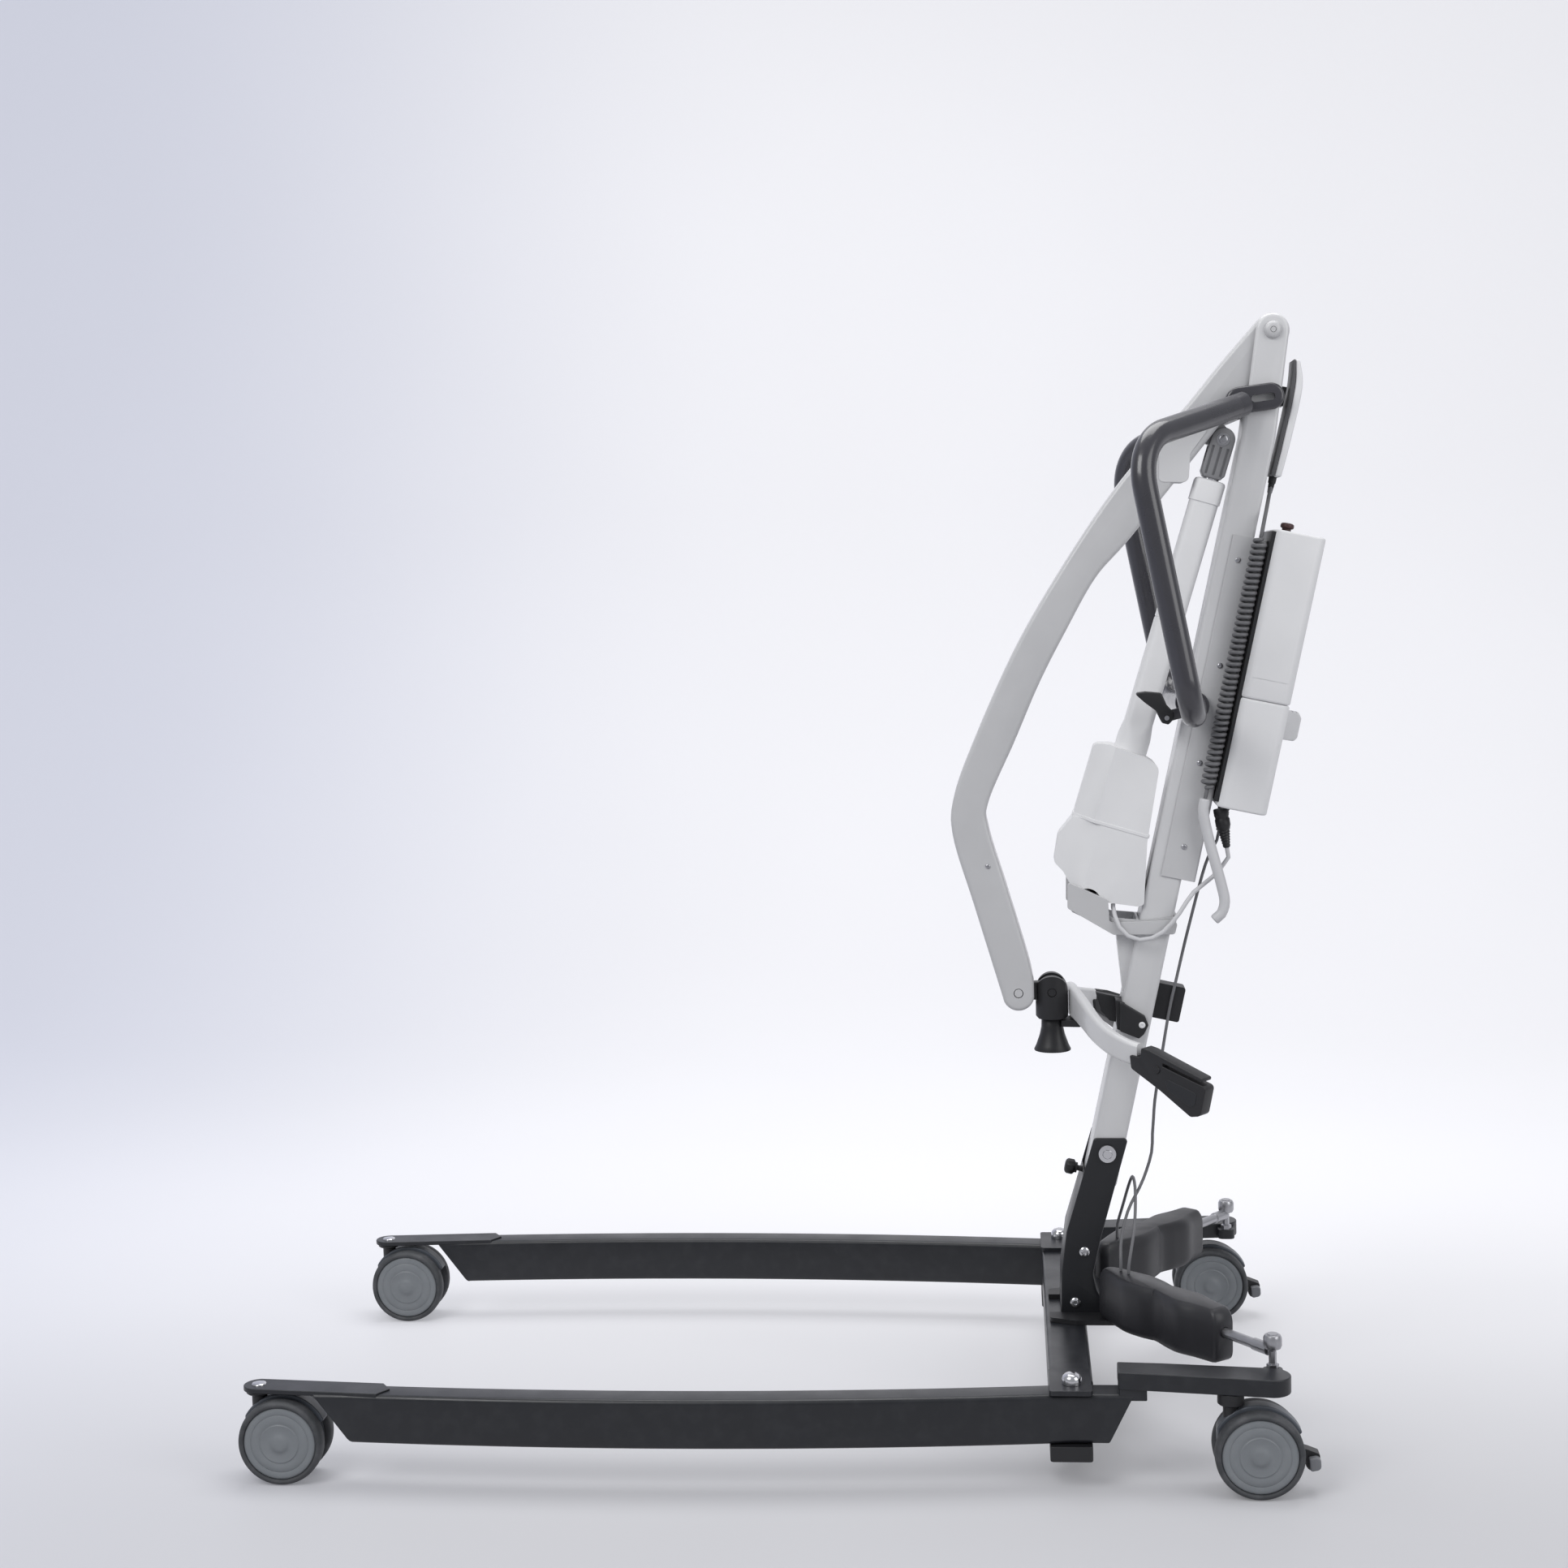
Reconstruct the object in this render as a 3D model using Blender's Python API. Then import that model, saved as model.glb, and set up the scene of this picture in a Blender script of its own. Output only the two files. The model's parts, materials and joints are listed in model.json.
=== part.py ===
"""Portable patient lift: wheeled base with two opening legs, folding mast, curved boom, electric lifting
actuator, push handles, control box with handset, and a swivelling spreader bar with two sling hooks.

Metres, +Z up. X runs from the leg tips (minus) to the person pushing (plus), Y across, floor at Z = 0.
Side-view positions are (X, Z) measured from the leg pivots' axis and the floor. Left is the -Y side.
"""

from math import atan2, cos, degrees, hypot, pi, radians, sin, sqrt

import bmesh
import bpy
import numpy as np
from mathutils import Vector

# Gap between meshes that touch, and the play of a moving fit.
GAP = 0.0003
PLAY = 0.0006

# Casters: twin wheels either side of a hooded fork.
WHEEL_RADIUS = 0.050
WHEEL_WIDTH = 0.060
WHEEL_TRAIL = 0.030
TYRE_WIDTH = 0.0195
AXLE_RADIUS = 0.006
LEG_PIVOT_Y = 0.290
FRONT_STEM = (-0.948, LEG_PIVOT_Y + 0.006)
REAR_STEM = (0.1765, LEG_PIVOT_Y + 0.021)
STEM_RADIUS = 0.015

# Legs: bowed rectangular tubes that turn on bolts at the crossbar's ends.
LEG_TOP = 2 * WHEEL_RADIUS + 0.010
LEG_BOTTOM = LEG_TOP - 0.058
LEG_WIDTH = 0.038
LEG_BOW = 0.026
NOSE_TOP = LEG_TOP + 0.002
NOSE_THICKNESS = 0.006
ARM_BOTTOM = LEG_TOP + 0.006
ARM_TOP = ARM_BOTTOM + 0.020
ARM_END_RADIUS = 0.022
BALL = (0.2267, LEG_PIVOT_Y - 0.010, LEG_TOP + 0.054)

# Crossbar between the legs, with a clevis at each end.
BAR_HALF_DEPTH = 0.025
BAR_END_Y = LEG_PIVOT_Y - 0.028
CLEVIS_PLATE = 0.006
CLEVIS_BLOCK = 0.018
PIVOT_BOLT_RADIUS = 0.006
PIVOT_CAP_RADIUS = 0.0115

# Leg drives: a pod swings on a pin behind the mast and pushes a rod to the leg's ball stud.
DRIVE_PIVOT = (0.054, 0.056)
DRIVE_LENGTH = 0.205
DRIVE_HALF_WIDTH = 0.026
DRIVE_LOW = LEG_TOP + 0.0075
DRIVE_HIGH = DRIVE_LOW + 0.0625
DRIVE_EAR_RADIUS = 0.013
ROD_RADIUS = 0.006

# Mast socket and the fold.
FOLD = (0.054, 0.318)
MAST_LEAN = radians(12.4)
CHEEK = 0.004
SOCKET_FOOT_BACK = 0.075
SOCKET_FRONT_WALL_TOP = 0.2925
SOCKET_REAR_WALL_TOP = 0.2560
FOLD_BOLT_RADIUS = 0.006
KNOB_DROP = 0.034
KNOB_RADIUS = 0.0095

# Mast tube, bent once near its top.
MAST_DEPTH = 0.040
MAST_WIDTH = 0.060
MAST_WALL = 0.003
MAST_STUB = 0.042
MAST_BEND = 0.892
BOOM_PIVOT = (0.2631, 1.3161)
BOOM_BOLT_RADIUS = 0.006

# Boom and what hangs from it.
BOOM_WIDTH = 0.046
BOOM_ROOT_RADIUS = 0.021
BOOM_BOLT = (-0.0517, 0.5170)
BOOM_END_RADIUS = 0.0195
TILT_PIVOT = (-0.0105, 0.5170)
TILT_RADIUS = 0.020
TONGUE = 0.016
YOKE_RADIUS = 0.0208
YOKE_FOOT = -0.034
BAR_CENTRE = (0.0283, 0.0, -0.0160)
BAR_TALL = 0.0195
SWIVEL_YAW = radians(6.5)

# Lifting actuator between the mast bracket and the boom's lug.
ACTUATOR_TOP = (0.205, 1.189)
ACTUATOR_FOOT = (0.034, 0.632)
TUBE_RADIUS = 0.016
ACTUATOR_ROD_RADIUS = 0.010
FORK_RADIUS = 0.014
FORK_GAP = 0.016
FORK_ARM = 0.007
LUG_THICKNESS = 0.012
POCKET_WIDTH = 0.036
FOOT_TONGUE = 0.014
BRACKET_PLATE = 0.003

# Control box and battery behind the mast.
BOX_FRONT = 0.0365
BOX_DEPTH = 0.0645
BOX_WIDTH = 0.115
BOX_LOW = 0.450
BOX_SEAM = 0.585
BOX_HIGH = 0.789
CHANNEL_WALL = 0.002
CHANNEL_LOW = 0.352
CHANNEL_HIGH = 0.774

# Handset.
HANDSET_WIDTH = 0.046

# Push handles.
HANDLE_RADIUS = 0.0155
HANDLE_OUT = 0.200

# Cords.
CURLY_WIRE = 0.0024
CURLY_RADIUS = 0.00975
CURLS = 43
CURL_POINTS = 7
CURLY_X = 0.0255
HANDSET_END = (0.0292, 0.0)
HANDSET_FOOT = 0.8500
LEVER_PIN = (0.1310, 0.8575)
LEVER_PIN_RADIUS = 0.003
LEVER_NEAR = MAST_WIDTH / 2 + 0.012
LEVER_FAR = LEVER_NEAR + 0.020
BUTTON_RADIUS = 0.0070
BUTTON_DEPTH = 0.0010
STOP_STEM = 0.0055
CURLY_OUT = 0.0455
GUIDE_RADIUS = 0.0065
ACTUATOR_PLUG = (0.0480, -0.0260, 0.4460)
ACTUATOR_PLUG_TURN = (0.36, 0.0, -0.933)
DRIVE_PLUG = (0.0560, 0.0120, 0.4497)
CLIP_HALF = 0.013
CABLE_RADIUS = 0.0027
THIN_CABLE_RADIUS = 0.0019

SIDES = (("left", -1), ("right", 1))


def clear_scene():
    for obj in list(bpy.data.objects):
        bpy.data.objects.remove(obj, do_unlink=True)


def material(name, colour, roughness, metallic=0.0):
    made = bpy.data.materials.get(name)
    if made is None:
        made = bpy.data.materials.new(name)
        made.use_nodes = True
        shader = made.node_tree.nodes["Principled BSDF"]
        shader.inputs["Base Color"].default_value = (*colour, 1.0)
        shader.inputs["Roughness"].default_value = roughness
        shader.inputs["Metallic"].default_value = metallic
        made.diffuse_color = (*colour, 1.0)
    return made


def frame(name, place, parent=None, turn=(0.0, 0.0, 0.0)):
    """An empty on a joint's axis, which the body's pieces hang on."""
    empty = bpy.data.objects.new(name, None)
    bpy.context.scene.collection.objects.link(empty)
    empty.parent = parent
    empty.location = place
    empty.rotation_euler = turn
    empty.empty_display_size = 0.05
    return empty


def solid(name, bm, parent, look, smooth=35):
    bmesh.ops.recalc_face_normals(bm, faces=bm.faces)
    mesh = bpy.data.meshes.new(name)
    bm.to_mesh(mesh)
    bm.free()
    mesh.shade_smooth()
    mesh.set_sharp_from_angle(angle=radians(smooth))
    obj = bpy.data.objects.new(name, mesh)
    bpy.context.scene.collection.objects.link(obj)
    obj.parent = parent
    if look is not None:
        mesh.materials.append(look)
    return obj


def combine(obj, shapes, operation):
    """Cuts or joins shapes with hidden guides, one after another."""
    for count, shape in enumerate(shapes):
        guide = solid(f"{obj.name}.{operation.lower()}{len(obj.modifiers)}_{count}", shape, obj.parent, None)
        guide.hide_render = True
        guide.display_type = "WIRE"
        boolean = obj.modifiers.new(operation.lower(), "BOOLEAN")
        boolean.operation = operation
        boolean.object = guide
    return obj


def cut(obj, *shapes):
    return combine(obj, shapes, "DIFFERENCE")


def fuse(obj, *shapes):
    return combine(obj, shapes, "UNION")


def round_edges(obj, width, segments=2, angle=40):
    bevel = obj.modifiers.new("edges", "BEVEL")
    bevel.width = width
    bevel.segments = segments
    bevel.limit_method = "ANGLE"
    bevel.angle_limit = radians(angle)
    return obj


def loft(rings):
    """Joins closed rings of equal length with quads and caps both ends."""
    bm = bmesh.new()
    made = [[bm.verts.new(point) for point in ring] for ring in rings]
    count = len(made[0])
    for low, high in zip(made, made[1:]):
        for i in range(count):
            j = (i + 1) % count
            bm.faces.new((low[i], low[j], high[j], high[i]))
    bm.faces.new(made[0][::-1])
    bm.faces.new(made[-1])
    return bm


def prism(outline, low, high):
    """A side outline (x, z) extruded from y = low to y = high."""
    return loft([[(x, y, z) for x, z in outline] for y in (low, high)])


def slab(outline, low, high):
    """A plan outline (x, y) extruded from z = low to z = high."""
    return loft([[(x, y, z) for x, y in outline] for z in (low, high)])


def box(x0, x1, y0, y1, z0, z1):
    return slab([(x0, y0), (x1, y0), (x1, y1), (x0, y1)], z0, z1)


def arc(cx, cy, radius, first, last, steps):
    angles = [radians(first + (last - first) * i / steps) for i in range(steps + 1)]
    return [(cx + radius * cos(a), cy + radius * sin(a)) for a in angles]


def rounded(corners, steps=3):
    """A closed outline from corners (a, b, radius), each fillet with the given steps."""
    found = []
    count = len(corners)
    for i, (x, y, radius) in enumerate(corners):
        here = Vector((x, y))
        if radius <= 0:
            found.append((x, y))
            continue
        before = Vector(corners[i - 1][:2]) - here
        after = Vector(corners[(i + 1) % count][:2]) - here
        half = before.angle(after) / 2
        reach = min(radius / np.tan(half), before.length * 0.48, after.length * 0.48)
        size = reach * np.tan(half)
        centre = here + (before.normalized() + after.normalized()).normalized() * (size / sin(half))
        start = here + before.normalized() * reach - centre
        end = here + after.normalized() * reach - centre
        turn = start.angle_signed(end)
        for k in range(steps + 1):
            found.append(tuple(centre + turned_vector(start, -turn * k / steps)))
    return found


def turned_vector(vector, angle):
    return Vector((vector.x * cos(angle) - vector.y * sin(angle),
                   vector.x * sin(angle) + vector.y * cos(angle)))


def rounded_box(x0, x1, z0, z1, radius):
    return [(x0, z0, radius), (x1, z0, radius), (x1, z1, radius), (x0, z1, radius)]


def smooth_line(points, steps):
    """Points along a smooth curve through the given ones, evenly spread by their number."""
    known = [np.array(p, dtype=float) for p in points]
    known = [2 * known[0] - known[1], *known, 2 * known[-1] - known[-2]]
    spans = len(points) - 1
    found = []
    for step in range(steps + 1):
        place = min(step * spans / steps, spans - 1e-9)
        i = int(place)
        t = place - i
        a, b, c, d = known[i:i + 4]
        square = (2 * a - 5 * b + 4 * c - d) * t**2
        found.append(0.5 * (2 * b + (c - a) * t + square + (3 * b - a - 3 * c + d) * t**3))
    return [tuple(float(v) for v in p) for p in found]


def spread(fine, spacing):
    """Even distances along a dense line."""
    places = np.array(fine)
    lengths = np.concatenate([[0.0], np.cumsum(np.linalg.norm(np.diff(places, axis=0), axis=1))])
    marks = np.linspace(0.0, lengths[-1], max(2, round(lengths[-1] / spacing)) + 1)
    return [Vector([float(np.interp(mark, lengths, places[:, k])) for k in range(3)]) for mark in marks]


def even_line(points, spacing):
    """A smooth curve through the points, read off at even distances along it."""
    return spread(smooth_line(points, 60 * (len(points) - 1)), spacing)


def led_line(points, spacing):
    """The same between the second point and the last but one, with a straight end step on either side."""
    fine = smooth_line(points, 60 * (len(points) - 1))[60:-60]
    return [Vector(points[0]), *spread(fine, spacing), Vector(points[-1])]


def axes_along(direction, hint=(0.0, 1.0, 0.0)):
    forward = Vector(direction).normalized()
    side = Vector(hint)
    side = (side - forward * side.dot(forward))
    if side.length < 1e-3:
        side = Vector((1.0, 0.0, 0.0)) - forward * forward.x
    side.normalize()
    return forward, side, forward.cross(side)


def turned(profile, start, direction, sides=24):
    """A turned solid: profile (radius, distance along) about an axis, capped where it begins and ends."""
    forward, side, up = axes_along(direction)
    rings = []
    for radius, along in profile:
        middle = Vector(start) + forward * along
        angles = [2 * pi * i / sides for i in range(sides)]
        rings.append([middle + side * radius * sin(a) - up * radius * cos(a) for a in angles])
    return loft(rings)


def cylinder(start, end, radius, sides=24, chamfer=0.0):
    length = (Vector(end) - Vector(start)).length
    profile = [(radius, 0.0), (radius, length)]
    if chamfer:
        profile = [(radius - chamfer, 0.0), (radius, chamfer), (radius, length - chamfer),
                   (radius - chamfer, length)]
    return turned(profile, start, Vector(end) - Vector(start), sides)


def across(x, z, half, radius, sides=24, chamfer=0.0):
    """A cylinder along Y through (x, z)."""
    return cylinder((x, -half, z), (x, half, z), radius, sides, chamfer)


def pipe(route, radius, sides=16):
    """A round bar along a route, its rings carried along without twisting."""
    points = [Vector(p) for p in route]
    forward, side, up = axes_along(points[1] - points[0])
    rings = []
    for i, point in enumerate(points):
        ahead = points[min(i + 1, len(points) - 1)] - point
        behind = point - points[max(i - 1, 0)]
        forward = (ahead.normalized() + behind.normalized()).normalized()
        side = (side - forward * side.dot(forward)).normalized()
        up = forward.cross(side)
        angles = [2 * pi * k / sides for k in range(sides)]
        rings.append([point + side * radius * cos(a) + up * radius * sin(a) for a in angles])
    return loft(rings)


def bend_route(corners, steps=6):
    """A route with straight runs and rounded corners (x, y, z, radius)."""
    route = []
    for i, (x, y, z, radius) in enumerate(corners):
        here = Vector((x, y, z))
        if radius <= 0 or i in (0, len(corners) - 1):
            route.append(here)
            continue
        before = (Vector(corners[i - 1][:3]) - here).normalized()
        after = (Vector(corners[i + 1][:3]) - here).normalized()
        half = before.angle(after) / 2
        reach = radius / np.tan(half)
        centre = here + (before + after).normalized() * (radius / sin(half))
        first = here + before * reach - centre
        last = here + after * reach - centre
        turn = first.angle(last)
        for k in range(steps + 1):
            t = k / steps
            route.append(centre + (first * sin((1 - t) * turn) + last * sin(t * turn)) / sin(turn))
    return route


def side_local(points, origin, lean):
    """Side-view positions turned into a leaning body's own frame."""
    found = []
    for x, z in points:
        dx = x - origin[0]
        dz = z - origin[1]
        found.append((dx * cos(lean) - dz * sin(lean), dx * sin(lean) + dz * cos(lean)))
    return found


def mast_local(*points):
    return side_local(points, FOLD, MAST_LEAN)


def mirrored(outline, side):
    return [(x, side * y) for x, y in outline]


LIGHT_GREY = ((0.50, 0.50, 0.51), 0.38, 0.15)
PLASTIC_GREY = ((0.56, 0.56, 0.58), 0.5, 0.0)
CHARCOAL = ((0.030, 0.032, 0.038), 0.45, 0.1)
BLACK = ((0.016, 0.016, 0.018), 0.5, 0.0)
DARK_GLOSS = ((0.055, 0.052, 0.062), 0.25, 0.0)
RUBBER = ((0.035, 0.038, 0.042), 0.7, 0.0)
HUB_GREY = ((0.16, 0.17, 0.19), 0.45, 0.1)
CHROME = ((0.62, 0.62, 0.64), 0.18, 1.0)
CABLE_GREY = ((0.42, 0.42, 0.44), 0.5, 0.0)
RED = ((0.45, 0.03, 0.03), 0.4, 0.0)


def look(name, values):
    return material(name, *values)


def leg_line(x):
    """Distance of a leg's centre line from the mid-plane: straight behind the pivot, bowed ahead of it."""
    if x >= 0:
        return LEG_PIVOT_Y
    t = min(1.0, x / FRONT_STEM[0])
    return LEG_PIVOT_Y + (FRONT_STEM[1] - LEG_PIVOT_Y) * t + LEG_BOW * 4 * t * (1 - t)


def leg_tube(side):
    """Rounded box section swept along the bow, both ends cut on a slant."""
    half = LEG_WIDTH / 2
    middle = (LEG_BOTTOM + LEG_TOP) / 2
    section = rounded(rounded_box(-half, half, LEG_BOTTOM, LEG_TOP, 0.006), 2)
    stations = [0.055, 0.0] + [-0.8555 * i / 10 for i in range(1, 11)]
    rings = []
    for i, x in enumerate(stations):
        slant = {0: 0.50, len(stations) - 1: -0.75}.get(i, 0.0)
        rings.append([(x + slant * (z - middle), side * (leg_line(x) + off), z) for off, z in section])
    return loft(rings)


def nose_plate(side):
    """Flat plate on the tube's front end, rounded about the front caster's stem."""
    x, y = FRONT_STEM
    back = -0.800
    near = leg_line(back)
    outline = arc(x, y, 0.018, 94, 266, 6)
    outline += [(back, near - 0.018), (back + 0.012, near), (back, near + 0.018)]
    return slab(mirrored(outline, side), NOSE_TOP - NOSE_THICKNESS, NOSE_TOP)


def steering_arm(side):
    """Flat arm from the tube's rear end to past the rear caster, rounded at its end."""
    end = REAR_STEM[0] + 0.0451
    outline = [(0.052, LEG_PIVOT_Y + 0.0185)]
    outline += [(0.052, LEG_PIVOT_Y - 0.0185), (0.10, LEG_PIVOT_Y - 0.015)]
    outline += arc(end, REAR_STEM[1], ARM_END_RADIUS, -86, 90, 6)
    return slab(mirrored(outline, side), ARM_BOTTOM, ARM_TOP)


def make_leg(name, side, parent, paint):
    pivot = frame(f"{name}_pivot", (0.0, side * LEG_PIVOT_Y, 0.0), parent)
    holder = frame(f"{name}_shift", (0.0, -side * LEG_PIVOT_Y, 0.0), pivot)
    leg = solid(f"leg_{name}", leg_tube(side), holder, paint)
    low = min(LEG_TOP, ARM_BOTTOM) - 0.008
    seat = box(0.0525, 0.0840, *sorted((side * (LEG_PIVOT_Y - 0.0175), side * (LEG_PIVOT_Y + 0.0175))), low,
               ARM_BOTTOM + 0.008)
    lug = rounded([(BALL[0] - 0.012, REAR_STEM[1] - 0.012, 0), (BALL[0] - 0.011, BALL[1] - 0.008, 0.007),
                   (BALL[0] + 0.011, BALL[1] - 0.008, 0.007), (BALL[0] + 0.012, REAR_STEM[1] - 0.012, 0)])
    ball = (BALL[0], side * BALL[1])
    stud = cylinder((*ball, ARM_TOP - 0.008), (*ball, BALL[2] - 0.0115), 0.0045, 8)
    fuse(leg, nose_plate(side), seat, steering_arm(side), slab(mirrored(lug, side), ARM_BOTTOM + 0.003,
                                                               ARM_TOP - 0.004))
    fuse(leg, stud)
    bore = cylinder((0.0, side * LEG_PIVOT_Y, LEG_BOTTOM - 0.02), (0.0, side * LEG_PIVOT_Y, LEG_TOP + 0.02),
                    PIVOT_BOLT_RADIUS + PLAY, 14)
    cut(leg, bore)
    return pivot


def fork_shape():
    """Side outline of a caster's hood and fork about its stem: straight front, round top, notched rear."""
    r = WHEEL_RADIUS + 0.003
    x = WHEEL_TRAIL
    z = WHEEL_RADIUS
    first = degrees(atan2(sqrt(r * r - (x + 0.016) ** 2), -(x + 0.016)))
    outline = arc(x, z, r, first, 24, 8)
    outline += [(x + WHEEL_RADIUS - 0.014, z + 0.015), (x + WHEEL_RADIUS - 0.0145, z - 0.014)]
    outline += arc(x, z, 0.018, -40, -140, 4)
    outline += [(-0.016, z + 0.004)]
    return outline


def wheel_profile():
    """Half of the twin wheel from its outer face to mid-axle: (radius, distance from the wheel's middle)."""
    half = WHEEL_WIDTH / 2
    inner = half - TYRE_WIDTH
    r = WHEEL_RADIUS
    outer = [(r - 0.0075, half - 0.0012), (r - 0.0060, half - 0.0030), (r - 0.0045, half), (r, half - 0.0045)]
    return outer + [(r, inner + 0.0035), (r - 0.003, inner), (AXLE_RADIUS, inner)]


def make_caster(name, stem, side, top, parent, looks):
    """Fork turning on its stem, and a twin wheel turning on the axle across the fork."""
    x, y = stem
    swivel = frame(f"{name}_swivel", (x, side * y, 0.0), parent)
    half = WHEEL_WIDTH / 2 - TYRE_WIDTH - 0.0012
    fork = solid(f"caster_{name}", prism(fork_shape(), -half, half), swivel, looks["fork"])
    round_edges(fork, 0.0015, 1)
    crown = 2 * WHEEL_RADIUS + 0.0012
    neck = [(half - 0.0005, crown - 0.016), (half - 0.0005, crown), (STEM_RADIUS, crown + 0.001),
            (STEM_RADIUS, top)]
    fuse(fork, turned(neck, (0, 0, 0), (0, 0, 1), 12))
    cut(fork, across(WHEEL_TRAIL, WHEEL_RADIUS, half + 0.01, AXLE_RADIUS + PLAY, 10))
    turn = frame(f"{name}_axle", (WHEEL_TRAIL, 0, WHEEL_RADIUS), swivel)
    profile = wheel_profile()
    rings = [(r, -d) for r, d in profile] + [(r, d) for r, d in reversed(profile)]
    solid(f"wheel_{name}", turned(rings, (0, 0, 0), (0, 1, 0), 18), turn, looks["wheel"])
    return swivel


def make_brake(name, swivel, paint):
    """Foot pedal hinged in the notch behind a rear caster's hood."""
    hinge = frame(f"{name}_brake_hinge", (WHEEL_TRAIL + WHEEL_RADIUS - 0.0075, 0, WHEEL_RADIUS + 0.001),
                  swivel)
    pedal = solid(f"brake_{name}", across(0, 0, 0.0085, 0.006, 12), hinge, paint)
    arm = [(0.000, 0.0045), (0.012, 0.001), (0.025, -0.004), (0.0255, -0.020), (0.013, -0.023),
           (0.0095, -0.018)]
    arm += [(0.0095, -0.008), (-0.001, -0.0045)]
    fuse(pedal, prism(arm, -0.008, 0.008))
    tread = rounded([(0.0115, -0.0075, 0.001), (0.0252, -0.0045, 0.003), (0.0258, -0.0195, 0.003),
                     (0.0135, -0.0225, 0.002)])
    fuse(pedal, prism(tread, -0.016, 0.016))
    return pedal


def make_crossbar(root, paint):
    """Square tube with a clevis at each end: a thin plate over the leg and a thick block under it."""
    low = LEG_BOTTOM - 0.001
    high = LEG_TOP + 0.001
    outline = rounded(rounded_box(-BAR_HALF_DEPTH, BAR_HALF_DEPTH, low, high, 0.005), 2)
    bar = solid("base_crossbar", prism(outline, -BAR_END_Y, BAR_END_Y), root, paint)
    for _, side in SIDES:
        near, far = sorted((side * (LEG_PIVOT_Y - 0.050), side * (LEG_PIVOT_Y + 0.026)))
        top = rounded([(-0.026, near, 0.004), (0.0224, near, 0.004), (0.0224, far, 0.004),
                       (-0.026, far, 0.004)], 1)
        fuse(bar, slab(top, LEG_TOP + 0.0005, LEG_TOP + 0.0005 + CLEVIS_PLATE))
        fuse(bar, slab(top, LEG_BOTTOM - 0.0005 - CLEVIS_BLOCK, LEG_BOTTOM - 0.0005))
    bores = [cylinder((0, side * LEG_PIVOT_Y, LEG_BOTTOM - 0.03), (0, side * LEG_PIVOT_Y, LEG_TOP + 0.02),
                      PIVOT_BOLT_RADIUS + GAP,
                      12)
             for _, side in SIDES]
    cut(bar, *bores)
    return bar


def make_pivot_bolt(name, side, root, metal):
    """Bolt down through the clevis and the leg, with a domed cap on the plate."""
    seat = LEG_TOP + 0.0005 + CLEVIS_PLATE + GAP
    foot = LEG_BOTTOM - CLEVIS_BLOCK + 0.002
    r = PIVOT_CAP_RADIUS
    profile = [(PIVOT_BOLT_RADIUS, foot - seat), (PIVOT_BOLT_RADIUS, 0.0), (r, 0.0), (r, 0.006),
               (r - 0.0015, 0.010),
               (0.006, 0.0128)]
    solid(f"pivot_bolt_{name}", turned(profile, (0, side * LEG_PIVOT_Y, seat), (0, 0, 1), 12), root, metal)


def make_drive_bracket(root, paint):
    """Plate on the crossbar behind the mast socket, with two upright pins' ears for the leg drives."""
    x, y = DRIVE_PIVOT
    high = DRIVE_LOW - 0.0005
    low = LEG_TOP + 0.001 + GAP
    inner = MAST_WIDTH / 2 + PLAY + CHEEK + 0.0001 + GAP
    back = SOCKET_FOOT_BACK + GAP
    outline = rounded([(-0.020, -inner - 0.022, 0.006), (0.012, -y - 0.014, 0.006),
                       (x + 0.014, -y - 0.014, 0.008),
                       (back + 0.016, -0.030, 0.006), (back + 0.016, 0.030, 0.006), (x + 0.014, y + 0.014,
                                                                                     0.008),
                       (0.012, y + 0.014, 0.006), (-0.020, inner + 0.022, 0.006), (-0.020, inner, 0),
                       (back, inner, 0), (back, -inner, 0), (-0.020, -inner, 0)])
    bracket = solid("drive_bracket", slab(outline, low, high), root, paint)
    for side in (-1, 1):
        pin = cylinder((x, side * y, high - 0.003), (x, side * y, DRIVE_HIGH - 0.012), 0.005, 12, 0.0008)
        fuse(bracket, pin)
    return bracket


def pod_shape():
    """Plan outline of a leg drive along its own x axis: pinned ear, wavy flanks, square outer end."""
    w = DRIVE_HALF_WIDTH
    flank = smooth_line([(0.030, 0.020), (0.055, w), (0.080, w - 0.002), (0.104, w - 0.008),
                         (0.128, w - 0.003),
                         (0.152, w), (0.178, w - 0.007), (DRIVE_LENGTH - 0.003, w - 0.011)], 14)
    ear = arc(0, 0, DRIVE_EAR_RADIUS, 125, 235, 6)
    end = [(DRIVE_LENGTH, w - 0.014), (DRIVE_LENGTH, -w + 0.014)]
    upper = [(0.010, DRIVE_EAR_RADIUS + 0.0005), *flank]
    return upper + end + [(x, -y) for x, y in reversed(upper)] + ear[::-1]


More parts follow.
